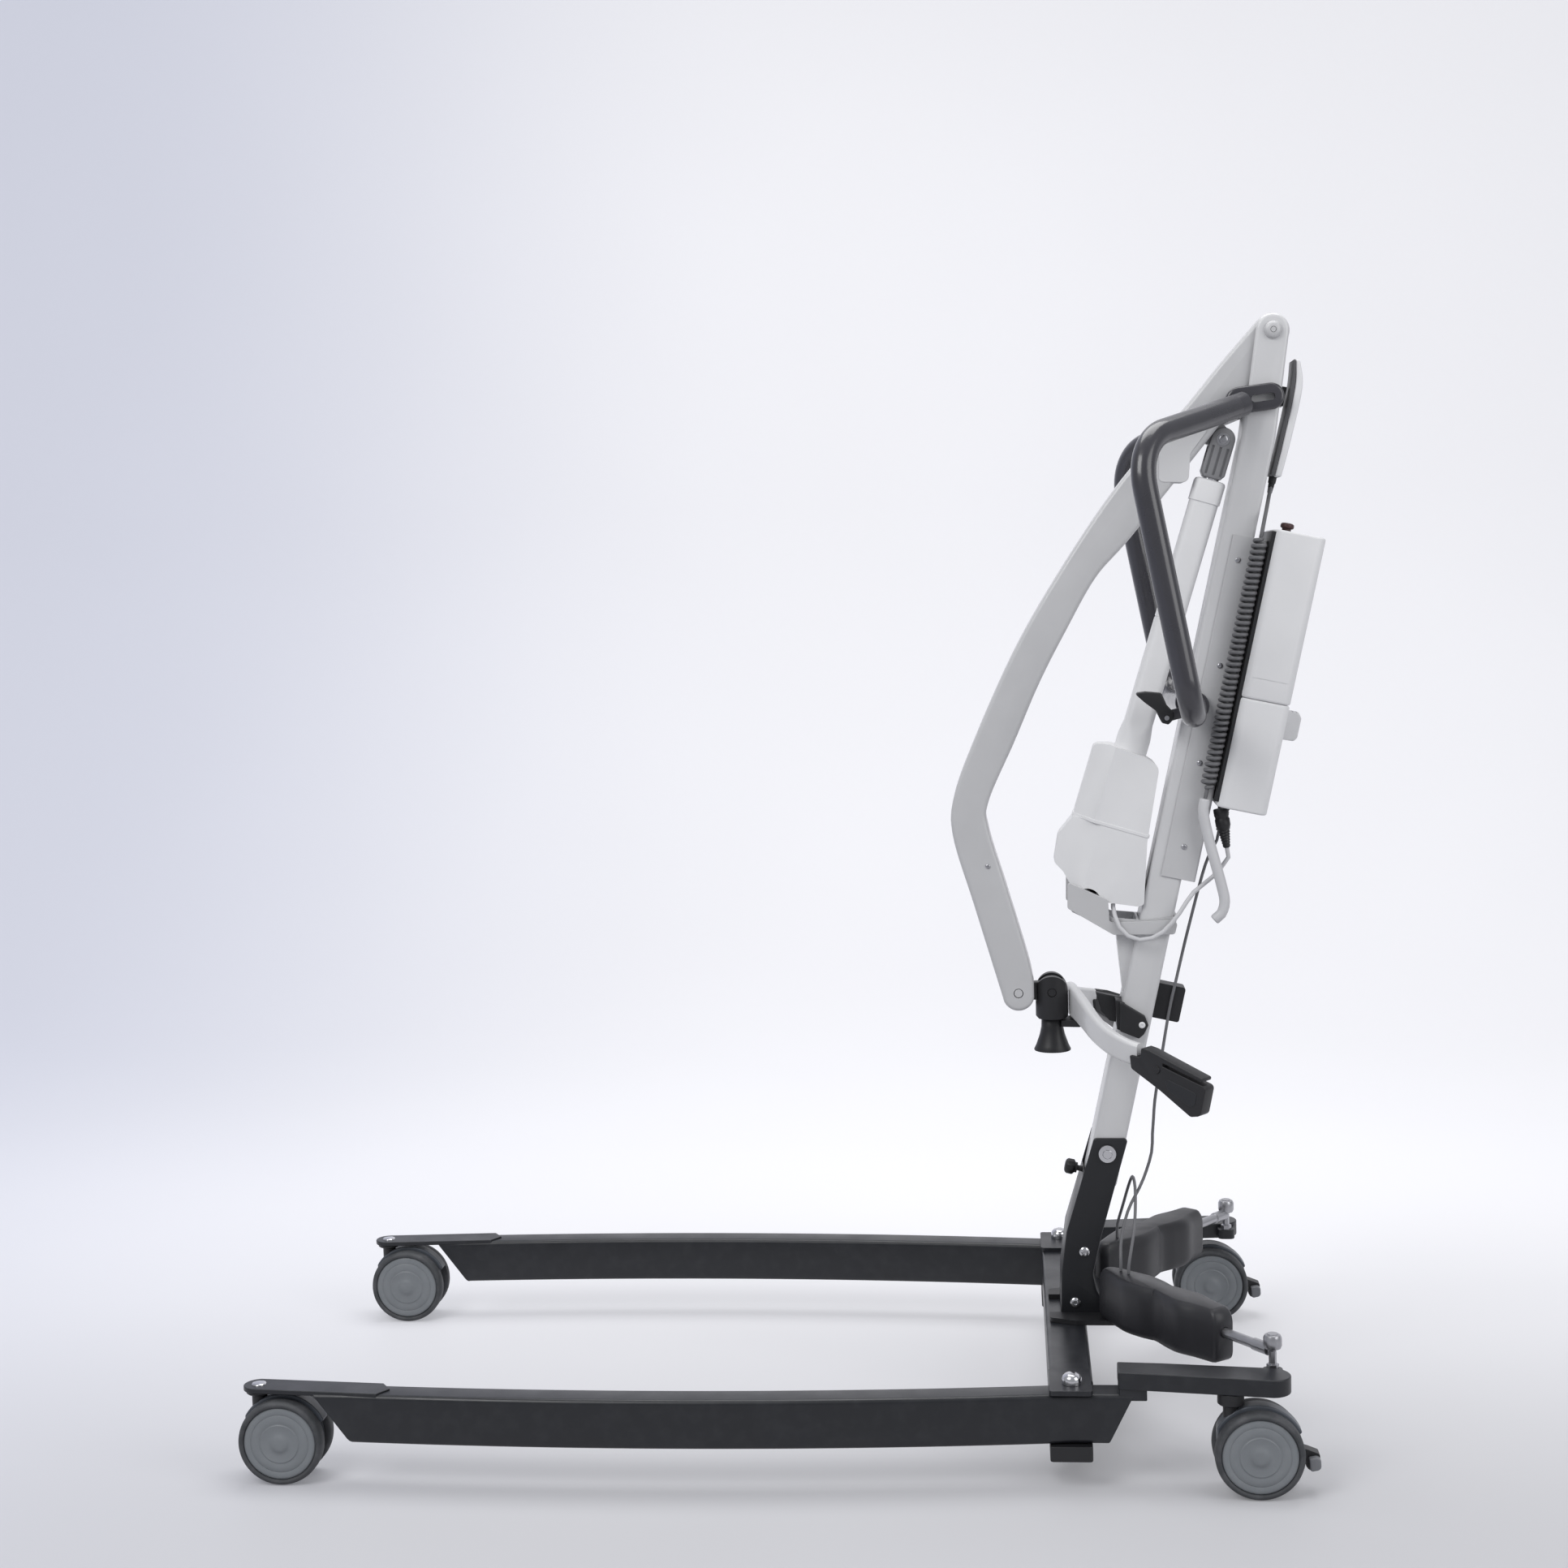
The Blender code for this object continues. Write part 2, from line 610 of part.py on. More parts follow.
def make_drive(name, side, root, looks):
    """Housing that swings about its pin, and the rod that slides in its outer end."""
    x, y = DRIVE_PIVOT
    reach = hypot(BALL[0] - x, BALL[1] - y)
    yaw = atan2(side * (BALL[1] - y), BALL[0] - x)
    pivot = frame(f"{name}_drive_pin", (x, side * y, 0), root, (0, 0, yaw))
    middle = (DRIVE_LOW + DRIVE_HIGH) / 2
    outline = pod_shape()
    if side < 0:
        outline = [(a, -b) for a, b in outline]
    rings = []
    for inset, z in ((0.004, DRIVE_LOW), (0.0, DRIVE_LOW + 0.007), (0.0, DRIVE_HIGH - 0.011),
                     (0.003, DRIVE_HIGH - 0.004),
                     (0.009, DRIVE_HIGH)):
        rings.append([(a - inset * (1 if a > 0.1 else -1 if a < 0.005 else 0), b * (1 - inset / 0.034), z)
                      for a, b in outline])
    pod = solid(f"drive_housing_{name}", loft(rings), pivot, looks["black"], 30)
    cut(pod, cylinder((0, 0, DRIVE_LOW - 0.01), (0, 0, DRIVE_HIGH - 0.0112), 0.005 + PLAY, 12))
    cut(pod, cylinder((min(reach - 0.1500, DRIVE_LENGTH - 0.070), 0, middle + 0.004),
                      (DRIVE_LENGTH + 0.02, 0, middle + 0.004),
                      ROD_RADIUS + PLAY, 10))
    slide = frame(f"{name}_drive_slide", (0, 0, middle + 0.004), pivot)
    lift = BALL[2] - middle - 0.004
    rod = solid(f"drive_rod_{name}", cylinder((min(reach - 0.110, DRIVE_LENGTH - 0.030), 0, 0),
                                              (reach - 0.0085, 0, 0), ROD_RADIUS,
                                              10), slide,
                looks["chrome"])
    eye = cylinder((reach, 0, lift - 0.0095), (reach, 0, lift + 0.0090), 0.0105, 15, 0.002)
    fuse(rod, eye)
    return pivot


def make_base(root, looks):
    paint = looks["charcoal"]
    make_crossbar(root, paint)
    for name, side in SIDES:
        pivot = make_leg(name, side, root, paint)
        holder = frame(f"{name}_casters", (0.0, -side * LEG_PIVOT_Y, 0.0), pivot)
        make_caster(f"front_{name}", FRONT_STEM, side, NOSE_TOP - NOSE_THICKNESS - GAP, holder, looks)
        rear = make_caster(f"rear_{name}", REAR_STEM, side, ARM_BOTTOM - GAP, holder, looks)
        make_brake(f"rear_{name}", rear, looks["black"])
        make_pivot_bolt(name, side, root, looks["dark_metal"])
        make_drive(name, side, root, looks)
    make_drive_bracket(root, looks["black"])


def make_socket(root, looks):
    """Folded plate socket: two cheeks, a front wall to just under the knob and a lower rear wall."""
    low = LEG_TOP + 0.001 + GAP
    front = [(0.038, 0.3365), (0.0025, 0.2183), (-0.0045, 0.165), (-0.006, low)]
    rear = [(SOCKET_FOOT_BACK, low), (SOCKET_FOOT_BACK - 0.005, low + 0.004), (0.040, 0.140), (0.0345, 0.165),
            (0.046, 0.215), (0.080, 0.3363)]
    half = MAST_WIDTH / 2 + PLAY + CHEEK
    outline = rounded([(x, z, 0.004 if z > 0.3 else 0.02 if 0.13 < z < 0.3 else 0) for x,
                       z in front + rear], 2)
    socket = solid("mast_socket", prism(outline, -half, half), root, looks["black"])
    inner = half - CHEEK
    well = [(0.0395, 0.345), (0.0105, 0.235), (0.004, 0.180), (0.003, 0.150), (0.028, 0.150), (0.0305, 0.170),
            (0.0425, 0.220), (0.0755, 0.345)]
    ahead = [(-0.02, 0.36), (-0.02, SOCKET_FRONT_WALL_TOP), (0.045, SOCKET_FRONT_WALL_TOP), (0.060, 0.36)]
    behind = [(0.030, 0.36), (0.030, SOCKET_REAR_WALL_TOP), (0.10, SOCKET_REAR_WALL_TOP), (0.10, 0.36)]
    cut(socket, prism(well, -inner, inner), prism(ahead, -inner, inner), prism(behind, -inner, inner))
    cut(socket, across(*FOLD, half + 0.01, FOLD_BOLT_RADIUS + PLAY, 14))
    cut(socket, knob_bore())
    for side in (-1, 1):
        y = side * (half - 0.001)
        fuse(socket, cylinder((0.0242, y, 0.1935), (0.0242, y + side * 0.005, 0.1935), 0.0075, 10, 0.001))
    return socket


def knob_axis():
    """The knob's place in front of the fold and its direction, square to the mast."""
    forward = Vector((-cos(MAST_LEAN), 0.0, sin(MAST_LEAN)))
    along = Vector((sin(MAST_LEAN), 0.0, cos(MAST_LEAN)))
    middle = Vector((FOLD[0], 0.0, FOLD[1])) - along * KNOB_DROP
    return middle, forward


def knob_bore():
    middle, forward = knob_axis()
    return cylinder(middle + forward * 0.010, middle + forward * 0.060, 0.0035 + PLAY, 10)


def make_fold(root, looks):
    half = MAST_WIDTH / 2 + PLAY + CHEEK
    length = 2 * (half + GAP + 0.0065)
    rings = [(0.0095, 0.0), (0.0105, 0.0015), (0.0105, 0.0065), (FOLD_BOLT_RADIUS, 0.0065)]
    rings += [(FOLD_BOLT_RADIUS, length - 0.0065)]
    rings += [(0.0105, length - 0.0065), (0.0105, length - 0.0015), (0.0095, length)]
    start = (FOLD[0], -length / 2, FOLD[1])
    solid("fold_bolt", turned(rings, start, (0, 1, 0), 14), root, looks["dark_metal"])
    middle, forward = knob_axis()
    hold = frame("lock_knob_slide", tuple(middle), root, (0, MAST_LEAN, 0))
    tip = MAST_DEPTH / 2 + GAP
    r = KNOB_RADIUS
    rings = [(0.0035, tip), (0.0035, 0.0295), (0.0065, 0.0300), (0.0065, 0.0325), (r, 0.0345), (r, 0.0425),
             (r - 0.002, 0.0455)]
    solid("lock_knob", turned(rings, (0, 0, 0), (-1, 0, 0), 14), hold, looks["black"])


def mast_shape():
    """Side outline of the mast: straight, bent at its upper part, rounded about the boom's pivot."""
    r = MAST_DEPTH / 2
    px, pz = mast_local(BOOM_PIVOT)[0]
    tilt = atan2(px, pz - MAST_BEND)
    corner = r * np.tan(tilt / 2)
    across_top = (cos(tilt), -sin(tilt))
    top = arc(px, pz, r, -degrees(tilt), 180 - degrees(tilt), 9)
    front = [(-r, MAST_BEND + corner), (-r, -MAST_STUB)]
    behind = [(r, -MAST_STUB), (r, MAST_BEND - corner)]
    return behind + [(px + r * across_top[0], pz + r * across_top[1])] + top[1:] + front


def make_mast(hold, looks):
    px, pz = mast_local(BOOM_PIVOT)[0]
    mast = solid("mast", prism(mast_shape(), -MAST_WIDTH / 2, MAST_WIDTH / 2), hold, looks["grey"])
    round_edges(mast, 0.005, 1)
    inner = MAST_WIDTH / 2 - MAST_WALL
    cut(mast, box(px - 0.06, px + 0.06, -inner, inner, pz - 0.044, pz + 0.06))
    cut(mast, box(px - 0.06, px + 0.008, -inner, inner, pz - 0.076, pz - 0.035))
    cut(mast, across(px, pz, 0.06, BOOM_BOLT_RADIUS + PLAY, 12),
        across(0, 0, 0.06, FOLD_BOLT_RADIUS + PLAY, 12))
    make_bolt("boom_pivot_bolt", hold, (px, pz), BOOM_BOLT_RADIUS, 2 * (MAST_WIDTH / 2 + GAP), 0.0105,
              0.006, looks)


def make_bolt(name, hold, place, radius, grip, head, tall, looks):
    """Bolt across the body: shank, a domed head at each end, seated just off the plates."""
    length = grip + 2 * tall
    rings = [(head * 0.75, 0.0), (head, tall * 0.35), (head, tall), (radius, tall), (radius, length - tall),
             (head, length - tall), (head, length - tall * 0.35), (head * 0.75, length)]
    start = (place[0], -length / 2, place[1])
    solid(name, turned(rings, start, (0, 1, 0), 12), hold, looks["dark_metal"])


def make_channel(hold, looks):
    """Folded U behind the mast that carries the control box, screwed to the mast's sides."""
    inner = MAST_WIDTH / 2 + GAP
    outer = inner + CHANNEL_WALL
    back = BOX_FRONT - GAP
    outline = [(-0.006, -outer), (back, -outer), (back, outer), (-0.006, outer), (-0.006, inner),
               (back - CHANNEL_WALL, inner), (back - CHANNEL_WALL, -inner), (-0.006, -inner)]
    channel = solid("box_channel", slab(outline, CHANNEL_LOW, CHANNEL_HIGH), hold, looks["plastic"])
    screws = [(0.2195, 1.0441), (0.1971, 0.9177), (0.1718, 0.8001), (0.1520, 0.6980)]
    for x, z in mast_local(*screws):
        for side in (-1, 1):
            y = side * (outer - 0.001)
            fuse(channel, cylinder((x, y, z), (x, y + side * 0.003, z), 0.0045, 7))
    return channel


def make_actuator_bracket(hold, looks):
    """Plates either side of the mast, closed round it, carrying the actuator's lower bolt in front."""
    fx, fz = mast_local(ACTUATOR_FOOT)[0]
    front = mast_local((0.0110, 0.6440), (0.0125, 0.6210), (0.0684, 0.5940), (0.1029, 0.5917),
                       (0.1395, 0.5912))
    top = mast_local((0.1460, 0.6130), (0.1000, 0.6085), (0.0620, 0.6120), (0.0480, 0.6280), (0.0400, 0.6430),
                     (0.0340, 0.6445))
    inner = MAST_WIDTH / 2 + PLAY
    outer = inner + BRACKET_PLATE
    outline = rounded([(x, z, 0.006 if i not in (4, 5) else 0.001) for i, (x, z) in enumerate(front + top)],
                      1)
    bracket = solid("actuator_bracket", prism(outline, -outer, outer), hold, looks["grey"])
    gap = MAST_DEPTH / 2 + PLAY
    rear = gap + BRACKET_PLATE
    cut(bracket, box(-gap, gap, -inner, inner, 0.1, 0.5), box(rear, rear + 0.05, -0.05, 0.05, 0.1, 0.5))
    cut(bracket, box(-0.2, -gap - BRACKET_PLATE, -inner, inner, 0.1, 0.5))
    for side in (-1, 1):
        start = (fx, side * (FOOT_TONGUE / 2 + PLAY), fz)
        fuse(bracket, cylinder(start, (fx, side * (inner + 0.001), fz), 0.010, 12))
    cut(bracket, across(fx, fz, 0.06, 0.005 + PLAY, 12))
    make_bolt("lower_pivot_bolt", hold, (fx, fz), 0.005, 2 * (outer + GAP), 0.0085, 0.0045, looks)
    return bracket


def handle_route(side):
    places = [(0.262, MAST_WIDTH / 2 + 0.0095, 1.2395), (0.250, 0.062, 1.234), (0.104, HANDLE_OUT, 1.181),
              (0.156, HANDLE_OUT, 0.866),
              (0.1655, MAST_WIDTH / 2 + 0.0095, 0.870)]
    radii = (0, 0.016, 0.045, 0.042, 0)
    corners = []
    for (x, y, z), radius in zip(places, radii):
        lx, lz = mast_local((x, z))[0]
        corners.append((lx, side * y, lz, radius))
    return bend_route(corners, 4)


def make_handle(name, side, hold, looks):
    """Bent tube from the mast's top to its middle, with a flat foot at each end against the mast."""
    route = handle_route(side)
    handle = solid(f"handle_{name}", pipe(route, HANDLE_RADIUS, 10), hold, looks["gloss"])
    upper = MAST_WIDTH / 2 + GAP
    for end, seat, width, tall in ((route[0], upper, 0.0185, 0.021),
                                   (route[-1], upper + CHANNEL_WALL + GAP, 0.0185, 0.019)):
        near, far = sorted((side * seat, side * (MAST_WIDTH / 2 + 0.0125)))
        x = min(end.x, 0.016)
        outline = rounded(rounded_box(x - width, x + width, end.z - tall, end.z + tall, 0.008), 2)
        fuse(handle, prism(outline, near, far))
    if side < 0:
        add_lever_lug(handle, route[-1])
    return handle


def add_lever_lug(handle, foot):
    """Tab on the lower foot with the pin that the lever turns on."""
    x, z = mast_local(LEVER_PIN)[0]
    r = 0.0065
    outline = arc(x, z, r, 90, 270, 6) + [(foot.x - 0.008, z - r), (foot.x - 0.008, z + r)]
    fuse(handle, prism(outline, PLAY - LEVER_NEAR, -MAST_WIDTH / 2 - 0.0045))
    fuse(handle, cylinder((x, -MAST_WIDTH / 2 - 0.0065, z), (x, -LEVER_FAR - 0.0010, z), LEVER_PIN_RADIUS,
                          12))


def make_lever(hold, looks):
    """Wing lever on the pin beside the lower handle end."""
    x, z = mast_local(LEVER_PIN)[0]
    tx, tz = mast_local((0.098, 0.882))[0]
    pivot = frame("handle_lever_pin", (x, 0, z), hold)
    reach = hypot(tx - x, tz - z)
    rise = degrees(atan2(tz - z, tx - x))
    wing = arc(0, 0, 0.0095, rise + 100, rise + 260, 8)
    ex = reach * cos(radians(rise))
    ez = reach * sin(radians(rise))
    nose = arc(ex, ez, 0.005, rise - 80, rise + 80, 6)
    lever = solid("handle_lever", prism(wing + nose, -LEVER_FAR, -LEVER_NEAR), pivot, looks["black"])
    round_edges(lever, 0.002, 1)
    cut(lever, across(0, 0, 0.08, LEVER_PIN_RADIUS + PLAY, 12))
    return lever


def make_box(hold, looks):
    """Control box over battery, held by the channel's web, with a battery latch and a stop button."""
    half = BOX_WIDTH / 2
    back = BOX_FRONT + BOX_DEPTH
    outline = rounded(rounded_box(BOX_FRONT, back, -half, half, 0.010), 2)
    control = solid("control_box", slab(outline, BOX_SEAM + GAP, BOX_HIGH), hold, looks["plastic"])
    round_edges(control, 0.003, 1, 60)
    battery = solid("battery", slab(outline, BOX_LOW, BOX_SEAM), hold, looks["plastic"])
    round_edges(battery, 0.003, 1, 60)
    recess = box(back - 0.006, back + 0.01, -0.0125, 0.0125, 0.5350, BOX_SEAM + 0.01)
    cut(battery, recess)
    slide = frame("battery_latch_slide", (back - 0.005, 0, 0.5645), hold)
    latch = rounded(rounded_box(0.0, 0.0250, -0.0180, 0.0185, 0.003), 2)
    made = solid("battery_latch", prism(latch, -0.0119, 0.0119), slide, looks["plastic"])
    round_edges(made, 0.0015, 1)
    x, z = mast_local((0.2809, 1.0785))[0]
    cut(control, cylinder((x, 0, BOX_HIGH - 0.0045), (x, 0, BOX_HIGH + 0.01), STOP_STEM + PLAY, 12))
    press = frame("stop_button_slide", (x, 0, BOX_HIGH - 0.001), hold)
    rings = [(STOP_STEM, 0.0), (STOP_STEM, 0.0048), (0.0080, 0.0058), (0.0080, 0.0093), (0.0060, 0.0113)]
    solid("stop_button", turned(rings, (0, 0, 0), (0, 0, 1), 12), press, looks["red"])


def handset_shape():
    """Side outline of the handset in the mast's frame: slim, slightly curved, its back hooked to the mast."""
    rear = mast_local((0.2726, 1.1414), (0.2844, 1.1848), (0.2985, 1.2473), (0.2960, 1.2800))
    front = mast_local((0.2868, 1.2815), (0.2815, 1.2473), (0.2675, 1.1848), (0.2580, 1.1445))
    return smooth_line(rear, 6) + smooth_line(front, 6)


def make_handset(hold, looks):
    """Handset hanging behind the mast's top on a hook, with two rocker buttons on its back."""
    half = HANDSET_WIDTH / 2
    handset = solid("handset", prism(handset_shape(), -half, half), hold, looks["plastic"])
    round_edges(handset, 0.0025, 1, 60)
    px, pz = mast_local(BOOM_PIVOT)[0]
    fall = px / (pz - MAST_BEND)
    low, high = MAST_BEND + 0.043, MAST_BEND + 0.066
    seat = [(MAST_DEPTH / 2 + fall * (z - MAST_BEND) + 2 * GAP, z) for z in (low, high)]
    hook = solid("handset_hook", prism([*seat, (0.0221, high), (0.0221, low)], -0.012, 0.012), hold,
                 looks["black"])
    for name, place in {"up": (0.2953, 1.2330), "down": (0.2897, 1.2080)}.items():
        x, z = mast_local(place)[0]
        cut(handset, cylinder((x - 2.2 * BUTTON_DEPTH, 0, z), (x + 0.01, 0, z), BUTTON_RADIUS + PLAY, 12))
        slide = frame(f"button_{name}_slide", (x - BUTTON_DEPTH, 0, z), hold)
        rings = [(BUTTON_RADIUS, 0.0), (BUTTON_RADIUS, 0.0022), (BUTTON_RADIUS - 0.001, 0.0030)]
        solid(f"button_{name}", turned(rings, (0, 0, 0), (1, 0, 0), 12), slide, looks["black"])
    return handset, hook


def make_cable_fittings(hold, looks):
    """J-shaped guide that takes the curly cord's end, two plugs under the battery, and the thin cable's clip."""
    side_view = [(CURLY_X, BOX_LOW + 0.006), (CURLY_X, BOX_LOW - 0.004), (0.0298, 0.4308), (0.0426, 0.4031),
                 (0.0544, 0.3802), (0.0661, 0.3573),
                 (0.0742, 0.3380), (0.0733, 0.3225), (0.0665, 0.3130)]
    route = led_line([(x, -CURLY_OUT, z) for x, z in side_view], 3 * GUIDE_RADIUS)
    guide = solid("cable_hook", pipe(route, GUIDE_RADIUS, 8), hold, looks["cable"])
    inner = -(MAST_WIDTH / 2 + CHANNEL_WALL + 2 * GAP)
    fuse(guide, cylinder((0.0290, inner, 0.4320), (0.0290, -CURLY_OUT, 0.4320), 0.0045, 10))
    plug("actuator_plug", ACTUATOR_PLUG, ACTUATOR_PLUG_TURN, 0.009, 0.048, hold, looks["black"])
    plug("drive_plug", DRIVE_PLUG, (0, 0, -1), 0.0075, 0.034, hold, looks["black"])
    x, z = mast_local((0.1420, 0.5000))[0]
    behind = MAST_DEPTH / 2 + GAP
    outline = rounded([(behind, z - 0.022, 0), (behind + 0.034, z - 0.022, 0.003),
                       (behind + 0.034, z + 0.022, 0.003),
                       (behind, z + 0.022, 0)])
    solid("cable_clip", prism(outline, -CLIP_HALF, CLIP_HALF), hold, looks["black"])


def plug(name, start, direction, radius, length, hold, paint):
    rings = [(radius, 0.0), (radius, length * 0.45), (radius * 0.85, length * 0.5),
             (radius * 0.62, length * 0.9),
             (radius * 0.5, length)]
    return solid(name, turned(rings, start, direction, 10), hold, paint)


def make_mast_group(root, looks):
    make_socket(root, looks)
    make_fold(root, looks)
    hold = frame("mast_fold", (FOLD[0], 0, FOLD[1]), root, (0, MAST_LEAN, 0))
    make_mast(hold, looks)
    make_channel(hold, looks)
    make_actuator_bracket(hold, looks)
    for name, side in SIDES:
        make_handle(name, side, hold, looks)
    make_lever(hold, looks)
    make_box(hold, looks)
    make_handset(hold, looks)
    make_cable_fittings(hold, looks)
    return hold


def boom_shape():
    """Side outline of the boom about its pivot: round root, long bend, hooked lower end."""
    px, pz = BOOM_PIVOT
    along = Vector((-0.6545, -0.7562))
    aside = Vector((0.7562, -0.6545))
    root = Vector(BOOM_PIVOT)
    outer = [root - aside * BOOM_ROOT_RADIUS, (0.2041, 1.2817), (0.1633, 1.2330), (0.1240, 1.1905),
             (0.0854, 1.1472),
             (0.0412, 1.0880), (-0.0154, 1.0011), (-0.0555, 0.9300), (-0.0989, 0.8360), (-0.1265, 0.7640),
             (-0.1290, 0.7140), (-0.1047, 0.6280), (-0.0730, 0.5170)]
    inner = [(-0.0325, 0.5300), (-0.0389, 0.5613), (-0.0640, 0.6500), (-0.0845, 0.7210), (-0.0843, 0.7560),
             (-0.0513, 0.8293), (-0.0195, 0.9013), (0.0140, 0.9649), (0.0500, 1.0270), (0.0897, 1.0710),
             root + along * 0.200 + aside * 0.0270, root + along * 0.133 + aside * 0.0250,
             root + aside * BOOM_ROOT_RADIUS]
    bx, bz = BOOM_BOLT
    end = arc(bx, bz - 0.003, BOOM_END_RADIUS, 188, 352, 7)
    turn = degrees(atan2(aside.y, aside.x))
    cap = arc(px, pz, BOOM_ROOT_RADIUS, turn, turn + 180, 7)
    line = smooth_line([tuple(p) for p in outer[:-1]], 17) + end + smooth_line([tuple(p) for p in inner],
                                                                               18) + cap[1:-1]
    return [(x - px, z - pz) for x, z in line]


def make_boom(root, looks):
    """Boom on its pivot, with the actuator's pocket and lug under its root and a slot in its lower end."""
    px, pz = BOOM_PIVOT
    pivot = frame("boom_lift", (px, 0, pz), root)
    boom = solid("boom", prism(boom_shape(), -BOOM_WIDTH / 2, BOOM_WIDTH / 2), pivot, looks["grey"])
    round_edges(boom, 0.004, 1, 50)
    along = Vector((-0.6545, -0.7562))
    aside = Vector((0.7562, -0.6545))
    pocket = [along * 0.052 + aside * 0.034, along * 0.058 - aside * 0.008, along * 0.160 - aside * 0.008,
              along * 0.172 + aside * 0.040]
    cut(boom, prism([tuple(p) for p in pocket], -POCKET_WIDTH / 2, POCKET_WIDTH / 2))
    ex = ACTUATOR_TOP[0] - px
    ez = ACTUATOR_TOP[1] - pz
    nose = arc(ex, ez, FORK_RADIUS - 0.0005, -140, 49, 9)
    base = Vector((ex, ez))
    lug = nose + [tuple(base - aside * 0.056 - along * 0.020), tuple(base - aside * 0.056 + along * 0.030)]
    fuse(boom, prism(lug, -LUG_THICKNESS / 2, LUG_THICKNESS / 2))
    fuse(boom, across(ex, ez, FORK_GAP / 2 - GAP, 0.0070, 12))
    flank = [(0.1860, 1.2220), (0.1900, 1.2060), (0.1650, 1.1750), (0.1600, 1.1480), (0.1290, 1.1390),
             (0.1290, 1.1720)]
    flank = [(x - px, z - pz) for x, z in flank]
    for side in (-1, 1):
        near, far = sorted((side * 0.0183, side * 0.0227))
        fuse(boom, prism(flank, near, far))
    bx = BOOM_BOLT[0] - px
    bz = BOOM_BOLT[1] - pz
    slot = [(bx - 0.0120, bz + 0.019), (bx - 0.0120, bz - 0.012), (bx - 0.001, bz - 0.030),
            (bx + 0.05, bz - 0.030),
            (bx + 0.05, bz + 0.019)]
    cut(boom, prism(slot, -TONGUE / 2 - PLAY, TONGUE / 2 + PLAY))
    cut(boom, across(0, 0, 0.06, BOOM_BOLT_RADIUS + PLAY, 12), across(bx, bz, 0.06, 0.005 + PLAY, 12))
    make_hanger(pivot, looks)
    return pivot


def make_hanger(pivot, looks):
    """Tongue bolted in the boom's end slot, reaching back to the tilt pin over the spreader."""
    px, pz = BOOM_PIVOT
    bx = BOOM_BOLT[0] - px
    bz = BOOM_BOLT[1] - pz
    tx = TILT_PIVOT[0] - px
    tz = TILT_PIVOT[1] - pz
    outline = arc(bx, bz, 0.0095, 90, 270, 6) + arc(tx, tz, 0.0125, -90, 90, 8)
    tongue = solid("hanger_bracket", prism(outline, -TONGUE / 2, TONGUE / 2), pivot, looks["black"])
    bolt = across(bx, bz, BOOM_WIDTH / 2 - 0.001, 0.005, 10)
    fuse(tongue, bolt, across(tx, tz, YOKE_RADIUS - 0.002, 0.005, 10))
    return tongue


def make_spreader(pivot, looks):
    """Yoke that hangs plumb on the tilt pin, and the swivelling bar with a hook at each end."""
    px, pz = BOOM_PIVOT
    tilt = frame("hanger_tilt", (TILT_PIVOT[0] - px, 0, TILT_PIVOT[1] - pz), pivot)
    r = TILT_RADIUS
    outline = arc(0, 0, r, 0, 180, 9) + [(-r, -0.031), (-0.016, YOKE_FOOT), (0.016, YOKE_FOOT), (r, -0.031)]
    yoke = solid("spreader_yoke", prism(outline, -YOKE_RADIUS, YOKE_RADIUS), tilt, looks["black"])
    combine(yoke, [slab(arc(0, 0, YOKE_RADIUS - GAP, 0, 340, 17), -0.05, 0.03)], "INTERSECT")
    inner = TONGUE / 2 + PLAY
    cut(yoke, prism([(-0.05, -0.0135), (0.0140, -0.0135), (0.0140, 0.05), (-0.05, 0.05)], -inner, inner))
    cut(yoke, across(0, 0, 0.06, 0.005 + PLAY, 12))
    fuse(yoke, cylinder((0, 0, YOKE_FOOT + 0.002), (0, 0, -0.0715), 0.006, 12))
    swivel = frame("spreader_swivel", (0, 0, 0), tilt, (0, 0, SWIVEL_YAW))
    make_hub(swivel, looks)
    make_bar(swivel, looks)
    for name, side in SIDES:
        make_hook(name, side, swivel, looks)
    return tilt


def make_hub(swivel, looks):
    """Cone on the yoke's stem, with a saddle behind it that carries the bar."""
    top = YOKE_FOOT - GAP
    profile = [(0.0150, -top), (0.0165, 0.0480), (0.0205, 0.0690), (0.0218, 0.0755)]
    hub = solid("spreader_hub", turned(profile, (0, 0, 0), (0, 0, -1), 16), swivel, looks["black"])
    seat = BAR_CENTRE[2] - BAR_TALL - GAP
    outline = rounded([(0.004, -0.012, 0), (BAR_CENTRE[0] + 0.006, -0.019, 0.004),
                       (BAR_CENTRE[0] + 0.006, 0.019, 0.004),
                       (0.004, 0.012, 0)])
    fuse(hub, slab(outline, seat - 0.009, seat))
    cut(hub, cylinder((0, 0, -0.030), (0, 0, -0.0725), 0.006 + PLAY, 12))
    return hub


def bar_line():
    """Centre line of the spreader bar from hook to hook: a wide bow behind the hub, dropping to its ends."""
    x, _, z = BAR_CENTRE
    half = [(x, 0, z), (x + 0.0010, 0.030, z - 0.0002), (x + 0.0045, 0.070, z - 0.0045),
            (x + 0.0110, 0.108, z - 0.0135),
            (x + 0.0215, 0.142, z - 0.0215), (x + 0.0350, 0.166, z - 0.0270), (x + 0.0500, 0.180, z - 0.0310)]
    other = [(px, -py, pz) for px, py, pz in half]
    return even_line(other[:0:-1] + half, 0.0235)


